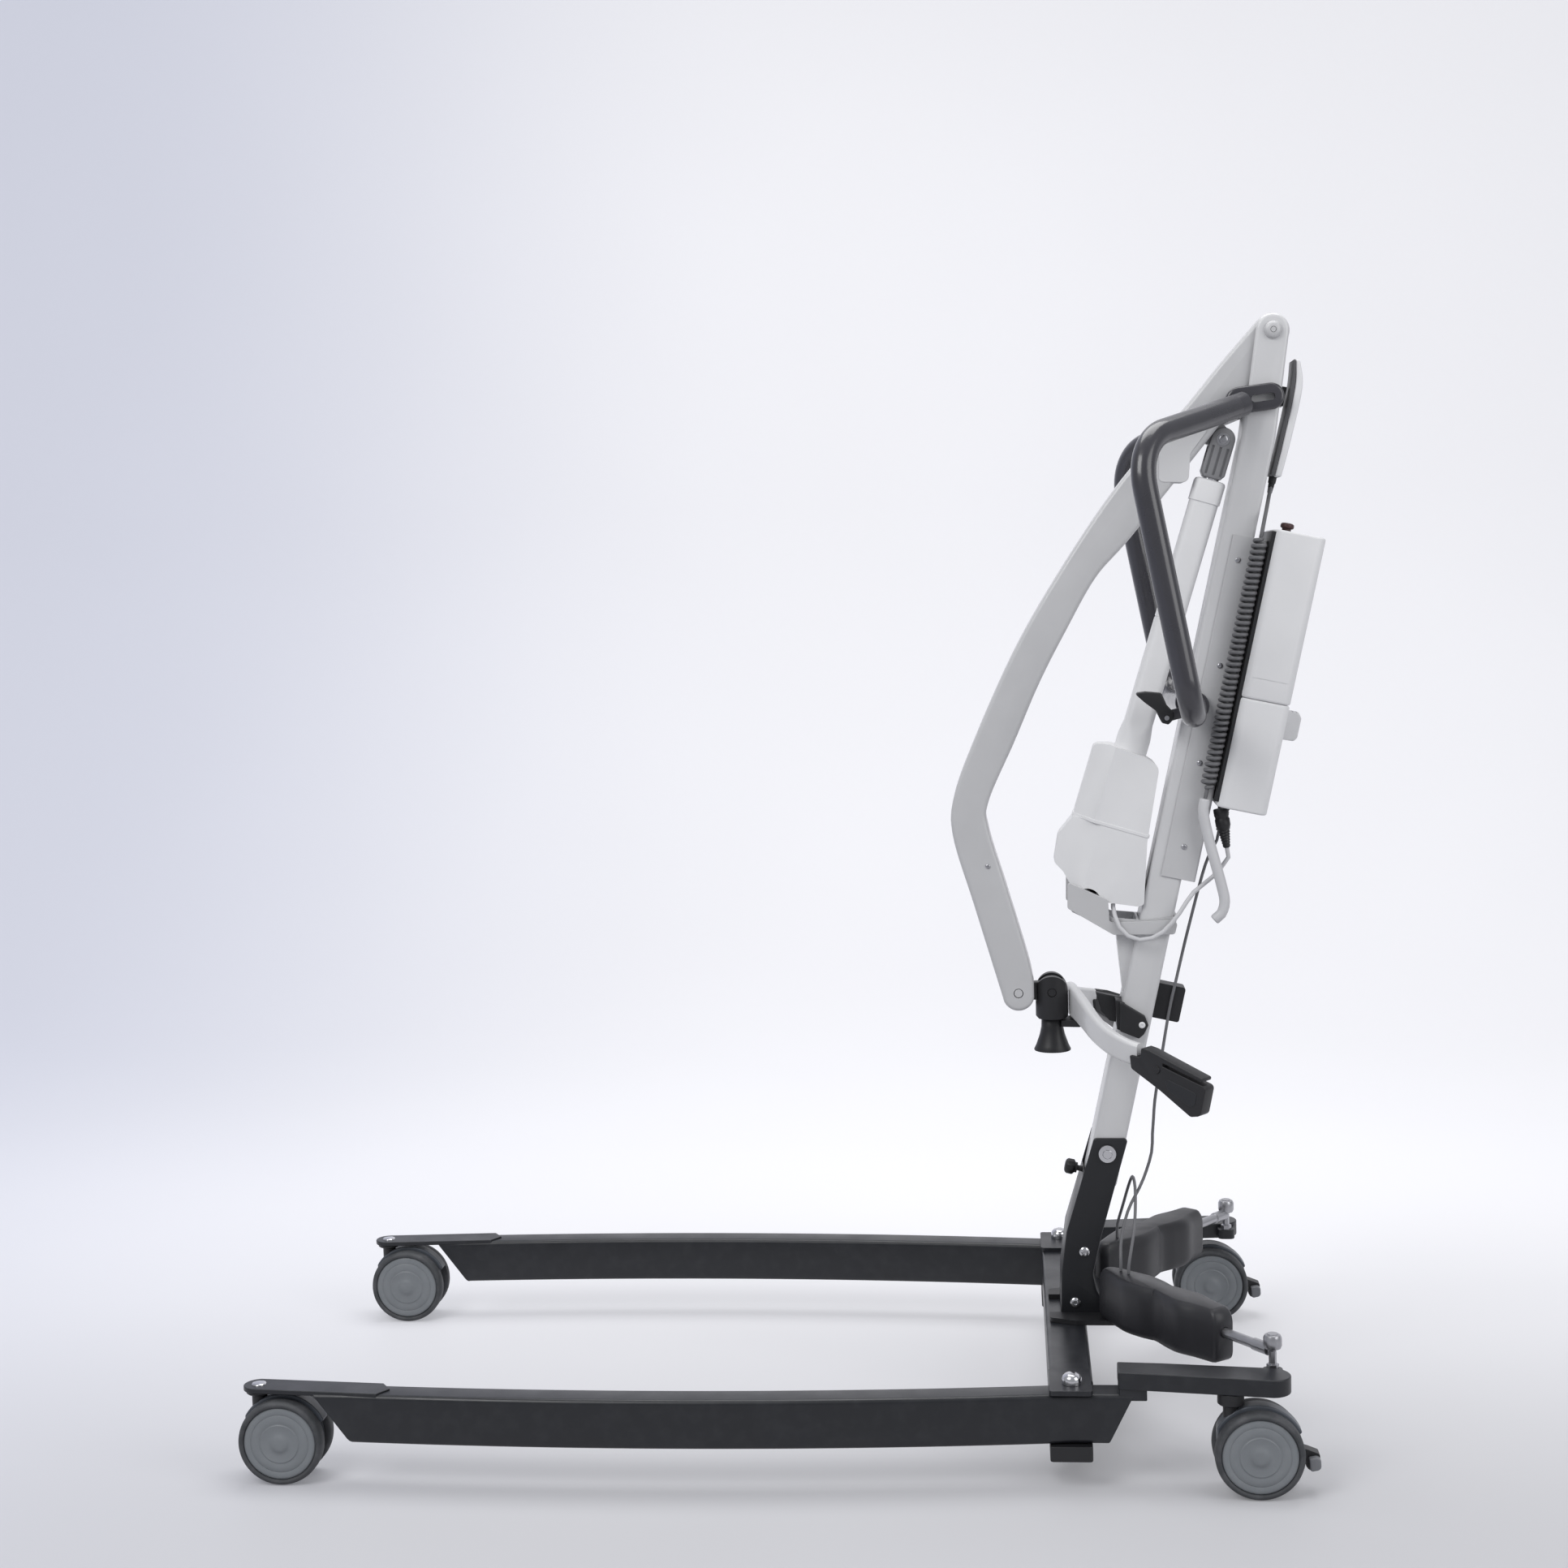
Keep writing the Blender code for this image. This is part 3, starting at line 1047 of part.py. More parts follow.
def make_bar(swivel, looks):
    """Flat oval bar, deeper at its middle."""
    line = bar_line()
    rings = []
    for i, point in enumerate(line):
        ahead = (line[min(i + 1, len(line) - 1)] - line[max(i - 1, 0)]).normalized()
        aside = Vector((ahead.y, -ahead.x, 0)).normalized()
        share = min(1.0, abs(point.y) / 0.18)
        tall = BAR_TALL - 0.0055 * share
        thick = 0.0072 - 0.0010 * share
        section = rounded(rounded_box(-thick, thick, -tall, tall, thick * 0.85), 1)
        rings.append([point + aside * a + Vector((0, 0, b)) for a, b in section])
    return solid("spreader_bar", loft(rings), swivel, looks["grey"], 40)


def make_hook(name, side, swivel, looks):
    """Sling hook on the bar's end: a tapered body that deepens to its tip, with a tongue over the loop's slot."""
    line = bar_line()
    end = line[-1] if side > 0 else line[0]
    ahead = end - (line[-2] if side > 0 else line[1])
    hold = frame(f"hook_{name}_seat", tuple(end), swivel, (0, 0, atan2(ahead.y, ahead.x)))
    slot = [(0.0860, -0.0154, 0.0024), (0.0841, -0.0206, 0.0012), (0.0381, -0.0039, 0), (0.0371, -0.0067, 0)]
    outline = rounded([(0.0004, 0.0120, 0.004), (0.0200, 0.0085, 0.010), *slot, (0.0905, -0.0260, 0.004),
                       (0.0820, -0.0600, 0.006), (0.0690, -0.0620, 0.004), (0.0320, -0.0380, 0.010),
                       (0.0004, -0.0145, 0.004)], 2)
    hook = solid(f"hook_{name}", prism(outline, -0.0095, 0.0095), hold, looks["black"])
    round_edges(hook, 0.0012, 1)
    fuse(hook, cylinder((0.0760, -0.0105, -0.0330), (0.0760, 0.0105, -0.0330), 0.0038, 8))
    return hook


def make_actuator(root, looks):
    """Linear actuator hinged at the mast bracket: motor housing, outer tube, sliding rod with a fork."""
    bx, bz = ACTUATOR_FOOT
    dx = ACTUATOR_TOP[0] - bx
    dz = ACTUATOR_TOP[1] - bz
    lean = atan2(dx, dz)
    length = hypot(dx, dz)
    tilt = frame("actuator_tilt", (bx, 0, bz), root, (0, lean, 0))
    corners = [(0.0465, 0.822, 0.008), (0.0780, 0.830, 0.006), (0.1090, 0.822, 0.006), (0.1233, 0.795, 0.010),
               (0.1076, 0.704, 0.03), (0.0949, 0.6254, 0.008), (0.0645, 0.6290, 0.01), (0.0078, 0.6566,
                                                                                        0.012),
               (-0.0056, 0.6788, 0.010), (-0.0003, 0.7086, 0.010), (0.0180, 0.7452, 0.02)]
    local = [(*side_local([(x, z)], ACTUATOR_FOOT, lean)[0], r) for x, z, r in corners]
    housing = solid("motor_housing", prism(rounded(local, 2), -0.0340, 0.0340), tilt, looks["plastic"])
    round_edges(housing, 0.005, 1, 60)
    floor = [(-0.0110, 0.060)] + arc(0, 0, 0.0110, 180, 360, 7) + [(0.0110, 0.060)]
    slots = []
    for side in (-1, 1):
        near, far = sorted((side * (FOOT_TONGUE / 2), side * 0.040))
        slots.append(prism(arc(0, 0, 0.0165, -60, 240, 8), near, far))
    cut(housing, *slots)
    fuse(housing, prism(floor, -FOOT_TONGUE / 2, FOOT_TONGUE / 2))
    cut(housing, across(0, 0, 0.06, 0.005 + PLAY, 14))
    low = 0.190
    top = length - 0.0500
    bore = ACTUATOR_ROD_RADIUS + PLAY
    cut(housing, cylinder((0, 0, low - GAP), (0, 0, 0.30), 0.0205 + GAP, 16))
    profile = [(0.0205, low), (0.0205, 0.2120), (0.0185, 0.2380), (TUBE_RADIUS + 0.0015, 0.2500),
               (TUBE_RADIUS, 0.2520),
               (TUBE_RADIUS, 0.4450), (TUBE_RADIUS + 0.0012, 0.4470), (TUBE_RADIUS + 0.0012, top - 0.003),
               (TUBE_RADIUS - 0.001, top), (bore, top), (bore, 0.2550)]
    solid("actuator_tube", turned(profile, (0, 0, 0), (0, 0, 1), 16), tilt, looks["plastic"])
    slide = frame("actuator_slide", (0, 0, length), tilt)
    rod = solid("actuator_rod", cylinder((0, 0, 0.262 - length), (0, 0, -0.0340), ACTUATOR_ROD_RADIUS, 12),
                slide, looks["chrome"])
    half = FORK_GAP / 2 + FORK_ARM
    fork = arc(0, 0, FORK_RADIUS, 0, 180, 8) + [(-FORK_RADIUS, -0.0420), (-0.0105, -0.0480),
                                                (0.0105, -0.0480),
                                               (FORK_RADIUS, -0.0420)]
    fuse(rod, prism(fork, -half, half))
    cut(rod, box(-0.03, 0.03, -FORK_GAP / 2, FORK_GAP / 2, -0.0300, 0.03))
    for side in (-1, 1):
        fuse(rod, cylinder((0, side * (half - 0.001), 0), (0, side * (half + 0.0022), 0), 0.0065, 10, 0.0006))
    return tilt


def curl_point(step, start, end):
    """A point of the curls: a helix about the line from start to end, drawn in to its axis at both ends."""
    forward, side, up = axes_along(end - start)
    total = CURLS * CURL_POINTS
    t = step / total
    ramp = min(1.0, min(t, 1 - t) * CURLS)
    radius = (CURLY_RADIUS - CURLY_WIRE) * (0.5 - 0.5 * cos(pi * ramp))
    angle = 2 * pi * step / CURL_POINTS
    return start + forward * (t * (end - start).length) + side * radius * cos(angle) + up * radius * sin(angle)


def curly_points():
    """The handset's tail, a straight lead, the curls beside the mast and a straight end into the guide tube."""
    lead = Vector((0.0, 0.0, 4.5 * CURLY_WIRE))
    top = Vector((CURLY_X, -CURLY_OUT, mast_local((0.2468, 1.0820))[0][1]))
    end = Vector((CURLY_X, -CURLY_OUT, BOX_LOW + 0.006 + GAP))
    tail = [(*HANDSET_END, HANDSET_FOOT), (HANDSET_END[0], -0.001, HANDSET_FOOT - 0.012),
            (0.0282, -0.010, 0.8290),
            (0.0268, -0.028, 0.8120), (CURLY_X, -0.0420, 0.7990), tuple(top)]
    points = even_line(tail, 6 * CURLY_WIRE)[:-1]
    curls = [curl_point(step, top - lead, end + lead) for step in range(CURLS * CURL_POINTS + 1)]
    return points + [top - lead * 0.35] + curls + [end + lead * 0.5, end]


def curly_gap(points):
    """Least distance of the cord's surface from itself, between pieces three quarters of a curl or more apart."""
    places = np.array([tuple(p) for p in points])
    apart = 3 * CURL_POINTS // 4
    least = 1.0
    for i in range(len(places) - apart):
        least = min(least, float(np.min(np.linalg.norm(places[i + apart:] - places[i], axis=1))))
    return least - 2 * CURLY_WIRE


def poly_tube(name, points, radius, resolution, parent, paint):
    curve = bpy.data.curves.new(name, "CURVE")
    curve.dimensions = "3D"
    spline = curve.splines.new("POLY")
    spline.points.add(len(points) - 1)
    for point, place in zip(spline.points, points):
        point.co = (*place, 1.0)
    curve.bevel_depth = radius
    curve.bevel_resolution = resolution
    curve.use_fill_caps = True
    curve.materials.append(paint)
    obj = bpy.data.objects.new(name, curve)
    bpy.context.scene.collection.objects.link(obj)
    obj.parent = parent
    return obj


def in_mast(points):
    """Side-view positions with a height across, turned into the mast's frame."""
    found = []
    for x, y, z in points:
        lx, lz = mast_local((x, z))[0]
        found.append((lx, y, lz))
    return found


def make_cords(root, hold, looks):
    """The handset's curly cord, the actuator's loop, and the thin cable down to the two leg drives."""
    points = curly_points()
    print("curly cord: least gap to itself", round(1000 * curly_gap(points), 2), "mm,", len(points), "points")
    poly_tube("curly_cord", points, CURLY_WIRE, 1, hold, looks["cable"])
    tip = Vector(ACTUATOR_PLUG) + Vector(ACTUATOR_PLUG_TURN).normalized() * (0.048 + GAP)
    away = Vector(ACTUATOR_PLUG_TURN).normalized() * 0.012
    route = in_mast([(0.0655, -0.0270, 0.6283), (0.0655, -0.0270, 0.6245), (0.0672, -0.0395, 0.6150),
                     (0.0765, -0.0445, 0.5955),
                     (0.0968, -0.0455, 0.5860), (0.1203, -0.0455, 0.5925), (0.1410, -0.0430, 0.6130),
                     (0.1620, -0.0370, 0.6420), (0.1860, -0.0290, 0.6600)]) + [tuple(tip + away), tuple(tip)]
    poly_tube("actuator_cable", led_line(route, 5.5 * CABLE_RADIUS), CABLE_RADIUS, 2, hold, looks["cable"])
    x, y, z = DRIVE_PLUG
    route = [(x, y, z - 0.034 - GAP), (x, y, z - 0.046)] + in_mast([(0.1800, 0.0040, 0.6700),
                                                                    (0.1580, -0.0090, 0.5950),
             (0.1420, -0.0157, 0.5320), (0.1330, -0.0158, 0.4930), (0.1225, -0.0120, 0.4300), (0.1150,
                                                                                               -0.0060, 0.3800),
             (0.1130, -0.0042, 0.3550), (0.1122, -0.0040, 0.3450)])
    poly_tube("drive_cable_upper", led_line(route, 6 * THIN_CABLE_RADIUS), THIN_CABLE_RADIUS, 2, hold,
              looks["black"])
    inlet = DRIVE_HIGH + GAP
    route = [(0.11217, -0.0040, 0.3446), (0.1114, -0.0042, 0.3350), (0.1095, -0.0060, 0.3100),
             (0.0975, -0.0120, 0.2760), (0.0790, -0.0300, 0.2450),
             (0.0690, -0.0520, 0.2150), (0.0672, -0.0680, 0.1950), (0.0672, -0.0700, 0.1880), (0.0672,
                                                                                               -0.0700, inlet)]
    poly_tube("drive_cable_lower", led_line(route, 6 * THIN_CABLE_RADIUS), THIN_CABLE_RADIUS, 2, root,
              looks["black"])
    route = [(0.0760, -0.0810, inlet), (0.0760, -0.0810, 0.1880), (0.0780, -0.0780, 0.2000),
             (0.0850, -0.0600, 0.2350), (0.0880, -0.0300, 0.2680),
             (0.0870, 0.0000, 0.2790), (0.0840, 0.0300, 0.2640), (0.0760, 0.0580, 0.2250), (0.0700, 0.0710,
                                                                                            0.1990),
             (0.0695, 0.0730, 0.1880), (0.0695, 0.0730, inlet)]
    poly_tube("drive_cable_link", led_line(route, 6 * THIN_CABLE_RADIUS), THIN_CABLE_RADIUS, 2, root,
              looks["black"])


def centre_on_floor(root):
    """Moves the whole lift so that the box round its solids is centred over the origin."""
    bpy.context.view_layer.update()
    depsgraph = bpy.context.evaluated_depsgraph_get()
    low = []
    high = []
    for obj in bpy.context.scene.objects:
        if obj.type != "MESH" or obj.hide_render:
            continue
        evaluated = obj.evaluated_get(depsgraph)
        mesh = evaluated.to_mesh()
        places = np.empty(3 * len(mesh.vertices), dtype=np.float32)
        mesh.vertices.foreach_get("co", places)
        world = places.reshape(-1,
                               3) @ np.array(obj.matrix_world.to_3x3()).T + np.array(obj.matrix_world.translation)
        low.append(world.min(axis=0))
        high.append(world.max(axis=0))
        evaluated.to_mesh_clear()
    low = np.min(low, axis=0)
    high = np.max(high, axis=0)
    root.location.x = -float(low[0] + high[0]) / 2
    root.location.y = -float(low[1] + high[1]) / 2
    print("bounds", np.round(low, 5), np.round(high, 5), "shift", round(root.location.x, 6),
          round(root.location.y, 6))


def all_looks():
    return {
        "grey": look("mast_paint", LIGHT_GREY),
        "plastic": look("grey_plastic", PLASTIC_GREY),
        "charcoal": look("base_paint", CHARCOAL),
        "black": look("black_plastic", BLACK),
        "gloss": look("handle_gloss", DARK_GLOSS),
        "wheel": look("wheel_grey", HUB_GREY),
        "fork": look("caster_black", RUBBER),
        "chrome": look("bright_steel", CHROME),
        "dark_metal": look("dark_steel", ((0.10, 0.10, 0.11), 0.35, 0.8)),
        "cable": look("cable_grey", CABLE_GREY),
        "red": look("stop_red", RED),
    }


def main():
    clear_scene()
    looks = all_looks()
    root = frame("lift", (0.0, 0.0, 0.0))
    make_base(root, looks)
    hold = make_mast_group(root, looks)
    pivot = make_boom(root, looks)
    make_spreader(pivot, looks)
    make_actuator(root, looks)
    make_cords(root, hold, looks)
    centre_on_floor(root)


main()
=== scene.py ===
"""Portable patient lift: looks, fine pieces, cords, floor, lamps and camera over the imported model.

Metres, +Z up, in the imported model's own frame: +X towards the person who pushes, -Y the left side.
Side-view places written as (x, z) are measured from the leg pivots' axis and the floor, as in the part's source.
"""

import json
from math import atan2, cos, degrees, hypot, pi, radians, sin, tan

import bmesh
import bpy
import numpy as np
from mathutils import Matrix, Vector

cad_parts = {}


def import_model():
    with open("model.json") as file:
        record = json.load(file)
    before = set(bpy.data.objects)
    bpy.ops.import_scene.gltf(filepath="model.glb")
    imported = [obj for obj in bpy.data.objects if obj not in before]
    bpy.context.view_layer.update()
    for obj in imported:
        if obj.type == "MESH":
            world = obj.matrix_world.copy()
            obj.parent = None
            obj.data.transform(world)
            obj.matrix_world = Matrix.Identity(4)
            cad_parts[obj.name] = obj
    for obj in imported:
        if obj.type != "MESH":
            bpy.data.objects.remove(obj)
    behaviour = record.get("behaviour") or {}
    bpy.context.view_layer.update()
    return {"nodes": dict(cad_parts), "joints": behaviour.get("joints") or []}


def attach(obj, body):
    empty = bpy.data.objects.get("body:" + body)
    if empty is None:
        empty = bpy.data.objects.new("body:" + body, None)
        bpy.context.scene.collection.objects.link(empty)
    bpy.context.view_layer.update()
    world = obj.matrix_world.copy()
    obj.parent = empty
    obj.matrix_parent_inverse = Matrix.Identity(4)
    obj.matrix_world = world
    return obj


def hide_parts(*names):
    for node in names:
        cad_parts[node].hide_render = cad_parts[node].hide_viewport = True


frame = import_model()

fold_joint = next(joint for joint in frame["joints"] if joint["name"] == "mast_fold")
FOLD = (0.054, 0.318)
MAST_LEAN = radians(12.4)
SHIFT = fold_joint["pos_m"][0] - FOLD[0]

# Camera: its place, its three turns, and its focal length in pixels of the square photograph.
PHOTO_SIDE = 1932
FOCAL_PIXELS = 2902.0
SENSOR_WIDTH = 36.0
SIGHT_END = 60.0
CAMERA_PLACE = (-0.063, -2.913, 1.057)
CAMERA_YAW = radians(5.40)
CAMERA_PITCH = radians(5.40)
CAMERA_ROLL = radians(1.52)


def mm(*rows):
    """Rows of millimetres, in metres."""
    return [tuple(value / 1000 for value in row) for row in rows]


def world(x, y, z):
    """A place measured from the leg pivots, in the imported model's frame."""
    return Vector((x + SHIFT, y, z))


def mast_side(*points):
    """Side-view places turned into the mast's own frame: x behind its middle line, z up along it from the fold."""
    c, s = cos(MAST_LEAN), sin(MAST_LEAN)
    turned = []
    for x, z in points:
        dx, dz = x - FOLD[0], z - FOLD[1]
        turned.append((dx * c - dz * s, dx * s + dz * c))
    return turned


def in_mast(points):
    """Places whose x and z are side-view ones, turned the same way."""
    return [(lx, y, lz) for x, y, z in points for lx, lz in mast_side((x, z))]


def link(name, data):
    made = bpy.data.objects.new(name, data)
    bpy.context.scene.collection.objects.link(made)
    return made


def make_camera():
    """The camera that was fitted to the photograph."""
    forward = Vector((-sin(CAMERA_YAW) * cos(CAMERA_PITCH), cos(CAMERA_YAW) * cos(CAMERA_PITCH), -sin(CAMERA_PITCH)))
    right = Vector((cos(CAMERA_YAW), sin(CAMERA_YAW), 0.0))
    down = forward.cross(right)
    turned_right = right * cos(CAMERA_ROLL) + down * sin(CAMERA_ROLL)
    turned_down = down * cos(CAMERA_ROLL) - right * sin(CAMERA_ROLL)
    data = bpy.data.cameras.new("camera")
    data.sensor_width = SENSOR_WIDTH
    data.lens = SENSOR_WIDTH * FOCAL_PIXELS / PHOTO_SIDE
    data.clip_end = SIGHT_END
    camera = link("camera", data)
    turn = Matrix((turned_right, -turned_down, -forward)).transposed()
    camera.matrix_world = Matrix.Translation(world(*CAMERA_PLACE)) @ turn.to_4x4()
    bpy.context.scene.camera = camera


# Materials: each surface has its own colour spread, grain and gloss.
COAT_ROUGH = 0.12
ROUGH_SPREAD = 0.06
PATCH = 0.05
GRAIN_SHARE = 0.35


def wire(tree, value, socket):
    """A node's output is linked to the socket; a plain value is set on it."""
    if isinstance(value, bpy.types.NodeSocket):
        tree.links.new(value, socket)
    else:
        socket.default_value = value


def node(tree, kind, values, **settings):
    """A node of the kind with its settings and its inputs' values or links."""
    made = tree.nodes.new("ShaderNode" + kind)
    for key, value in settings.items():
        setattr(made, key, value)
    for key, value in values.items():
        wire(tree, value, made.inputs[key])
    return made.outputs


def object_places(tree):
    return node(tree, "TexCoord", {})["Object"]


def link_noise(tree, places, size, detail, stretch=(1.0, 1.0, 1.0)):
    spots = node(tree, "Mapping", {"Scale": [value / size for value in stretch], "Vector": places})["Vector"]
    return node(tree, "TexNoise", {"Scale": 1.0, "Detail": detail, "Vector": spots})["Fac"]


def spread(tree, factor, low, high, from_low=0.3, from_high=0.7, shape="LINEAR"):
    """The factor's middle range spread from low to high."""
    return node(tree, "MapRange", {"From Min": from_low, "From Max": from_high, "To Min": low, "To Max": high,
                                   "Value": factor}, interpolation_type=shape)["Result"]


def blend_colours(tree, factor, *colours):
    values = {6 + i: colour if isinstance(colour, bpy.types.NodeSocket) else (*colour, 1.0)
              for i, colour in enumerate(colours)}
    return node(tree, "Mix", {"Factor": factor, **values}, data_type="RGBA")[2]


def shader_of(name):
    """A new material, its nodes and its shader's inputs."""
    material = bpy.data.materials.new(name)
    material.use_nodes = True
    return material, material.node_tree, material.node_tree.nodes["Principled BSDF"].inputs


def surface(name, colour, rough, grain, depth, shift, metal=0.0, coat=0.0, stretch=(1.0, 1.0, 1.0), dust=None,
            dust_share=0.0):
    """A plain painted, moulded or metal surface: patchy tone, fine grain as bump, uneven gloss and thin dust."""
    material, tree, sockets = shader_of(name)
    places = object_places(tree)
    patches = link_noise(tree, places, PATCH, 4.0, stretch)
    fine = link_noise(tree, places, grain, 2.0, stretch)
    tone = blend_colours(tree, spread(tree, patches, 0.0, 1.0), [c * (1 - shift) for c in colour],
                         [min(1.0, c * (1 + shift)) for c in colour])
    tone = blend_colours(tree, spread(tree, fine, 0.0, GRAIN_SHARE), tone, [c * (1 - 1.6 * shift) for c in colour])
    if dust:
        settled = link_noise(tree, places, PATCH * 0.35, 6.0)
        tone = blend_colours(tree, spread(tree, settled, 0.0, dust_share, 0.45, 0.75), tone, dust)
    bump = node(tree, "Bump", {"Strength": 1.0, "Distance": depth, "Height": fine})["Normal"]
    gloss = spread(tree, patches, rough - ROUGH_SPREAD, rough + ROUGH_SPREAD)
    for key, value in {"Metallic": metal, "Coat Weight": coat, "Coat Roughness": COAT_ROUGH, "Base Color": tone,
                       "Roughness": gloss, "Normal": bump}.items():
        wire(tree, value, sockets[key])
    return material


# Each look: its usual slot, its material's name, colour and roughness, grain in mm, its depth in micrometres, how
# far its tone shifts, and what else its surface takes.
PAINTED = {"coat": 0.25}
LOOK_FACTS = {
    # paint and the row below are one paint in two copies: the row below is painted lighter, as painted light for the
    # brighter light on the mast, wedge, gussets and bar.
    "paint": ("light_paint", "light_paint", (0.56, 0.56, 0.57), 0.36, 1.1, 25, 0.025, PAINTED),
    "mast_paint": ("light_paint", "mast_paint", (0.65, 0.65, 0.66), 0.36, 1.1, 25, 0.025, PAINTED),
    "plate": ("light_paint", "channel_plate", (0.56, 0.56, 0.57), 0.38, 1.1, 25, 0.025, {"coat": 0.2}),
    "plastic": ("grey_plastic", "grey_plastic", (0.79, 0.79, 0.80), 0.50, 0.7, 30, 0.022, {}),
    "latch": ("grey_plastic", "latch_plastic", (0.72, 0.72, 0.73), 0.46, 0.7, 30, 0.03, {}),
    "keypad": ("grey_plastic", "keypad_plastic", (0.085, 0.085, 0.090), 0.42, 0.6, 30, 0.10, {}),
    "charcoal": ("charcoal_paint", "charcoal_paint", (0.010, 0.0112, 0.0148), 0.36, 0.9, 40, 0.12,
                 {"dust": (0.10, 0.10, 0.11), "dust_share": 0.08}),
    "socket": ("charcoal_paint", "socket_paint", (0.012, 0.013, 0.016), 0.40, 0.9, 40, 0.12, {}),
    "black": ("black_plastic", "black_plastic", (0.012, 0.012, 0.014), 0.46, 0.6, 40, 0.15, {}),
    "pod": ("black_plastic", "pod_plastic", (0.022, 0.022, 0.026), 0.42, 0.6, 40, 0.12, {}),
    "grip": ("grip_gloss", "grip_gloss", (0.036, 0.035, 0.043), 0.30, 1.2, 20, 0.08, {"coat": 0.5}),
    "hub": ("wheel_grey", "hub_grey", (0.205, 0.220, 0.235), 0.42, 0.7, 30, 0.06,
            {"dust": (0.28, 0.29, 0.30), "dust_share": 0.25}),
    "tab": ("black_plastic", "pedal_grey", (0.19, 0.195, 0.21), 0.45, 0.7, 40, 0.07, {}),
    "hood": ("caster_black", "hood_grey", (0.085, 0.095, 0.112), 0.38, 0.7, 30, 0.08, {}),
    "tyre": ("wheel_grey", "tyre_rubber", (0.048, 0.051, 0.056), 0.62, 0.9, 60, 0.14,
             {"dust": (0.15, 0.15, 0.16), "dust_share": 0.35}),
    "chrome": ("chrome", "bright_steel", (0.62, 0.62, 0.64), 0.16, 0.9, 8, 0.04,
               {"metal": 1.0, "stretch": (1.0, 1.0, 0.08)}),
    "bolt": ("dark_steel", "painted_bolt", (0.56, 0.56, 0.57), 0.45, 0.6, 20, 0.06, {"metal": 0.1}),
    "fork": ("chrome", "fork_alloy", (0.27, 0.27, 0.28), 0.42, 0.6, 30, 0.10, {"metal": 0.35}),
    "zinc": ("dark_steel", "zinc_steel", (0.42, 0.42, 0.44), 0.32, 0.6, 20, 0.08, {"metal": 0.95}),
    "cable": ("cable_grey", "cable_grey", (0.62, 0.62, 0.635), 0.42, 0.8, 20, 0.05, {}),
    # The curly cord's grey is darker than its own light grey: painted shade on the coil.
    "curly": ("cable_grey", "curly_grey_painted_shade", (0.15, 0.15, 0.158), 0.40, 0.8, 20, 0.08, {}),
    "thin_cable": ("black_plastic", "thin_cable_grey", (0.16, 0.16, 0.17), 0.45, 0.8, 20, 0.08, {}),
    "red": ("stop_red", "stop_red", (0.050, 0.018, 0.018), 0.35, 0.6, 20, 0.06, {}),
}
LOOKS = {look: surface(name, colour, rough, grain / 1e3, depth / 1e6, shift, **more)
         for look, (_, name, colour, rough, grain, depth, shift, more) in LOOK_FACTS.items()}


# Floor, backdrop, lamps.
FLOOR_COLOUR = (0.44, 0.44, 0.46)
FLOOR_COLOUR_WARM = (0.47, 0.47, 0.49)
FLOOR_FRONT = -6.0
FLOOR_HALF = 9.0
FLOOR_PATCH = 1.2
BACKDROP_START = 2.1
BACKDROP_ROUND = 1.2
BACKDROP_TOP = 7.0
BACKDROP_STEPS = 12
GLOW_FRONT = -0.9
GLOW_BACK = 1.3
GLOW_RIGHT = 0.1
GLOW_LEFT = -2.4
GLOW_SHARE = 0.75
GLOW_NEAR = (0.10, 0.10, 0.104)
GLOW_FAR = (0.54, 0.54, 0.56)
GLOW_COOL = (0.28, 0.30, 0.39)
WORLD_COLOUR = (0.93, 0.95, 1.0)
WORLD_STRENGTH = 0.44
WORLD_SEEN = 0.88
LAMPS = (
    ("key", (-1.6, -2.2, 3.0), (0.0, 0.0, 0.7), (1.8, 1.8), 54.0),
    ("fill", (2.4, -1.6, 1.8), (0.1, 0.0, 0.7), (1.6, 2.0), 24.0),
    ("top", (0.2, 0.6, 3.4), (0.0, 0.0, 0.4), (2.6, 1.6), 50.0),
)


def math_node(tree, operation, *values):
    return node(tree, "Math", dict(enumerate(values)), operation=operation)[0]


def studio_glow(tree, places):
    """The backdrop's painted glow: greyer in front, cool towards the left, white behind the lift."""
    axes = node(tree, "SeparateXYZ", {"Vector": places})
    depth = spread(tree, axes["Y"], 0.0, 1.0, GLOW_FRONT, GLOW_BACK, "SMOOTHERSTEP")
    left = spread(tree, axes["X"], 0.0, 1.0, GLOW_RIGHT, GLOW_LEFT, "SMOOTHERSTEP")
    tone = blend_colours(tree, depth, GLOW_NEAR, GLOW_FAR)
    return blend_colours(tree, math_node(tree, "MULTIPLY", left, GLOW_SHARE), tone, GLOW_COOL)


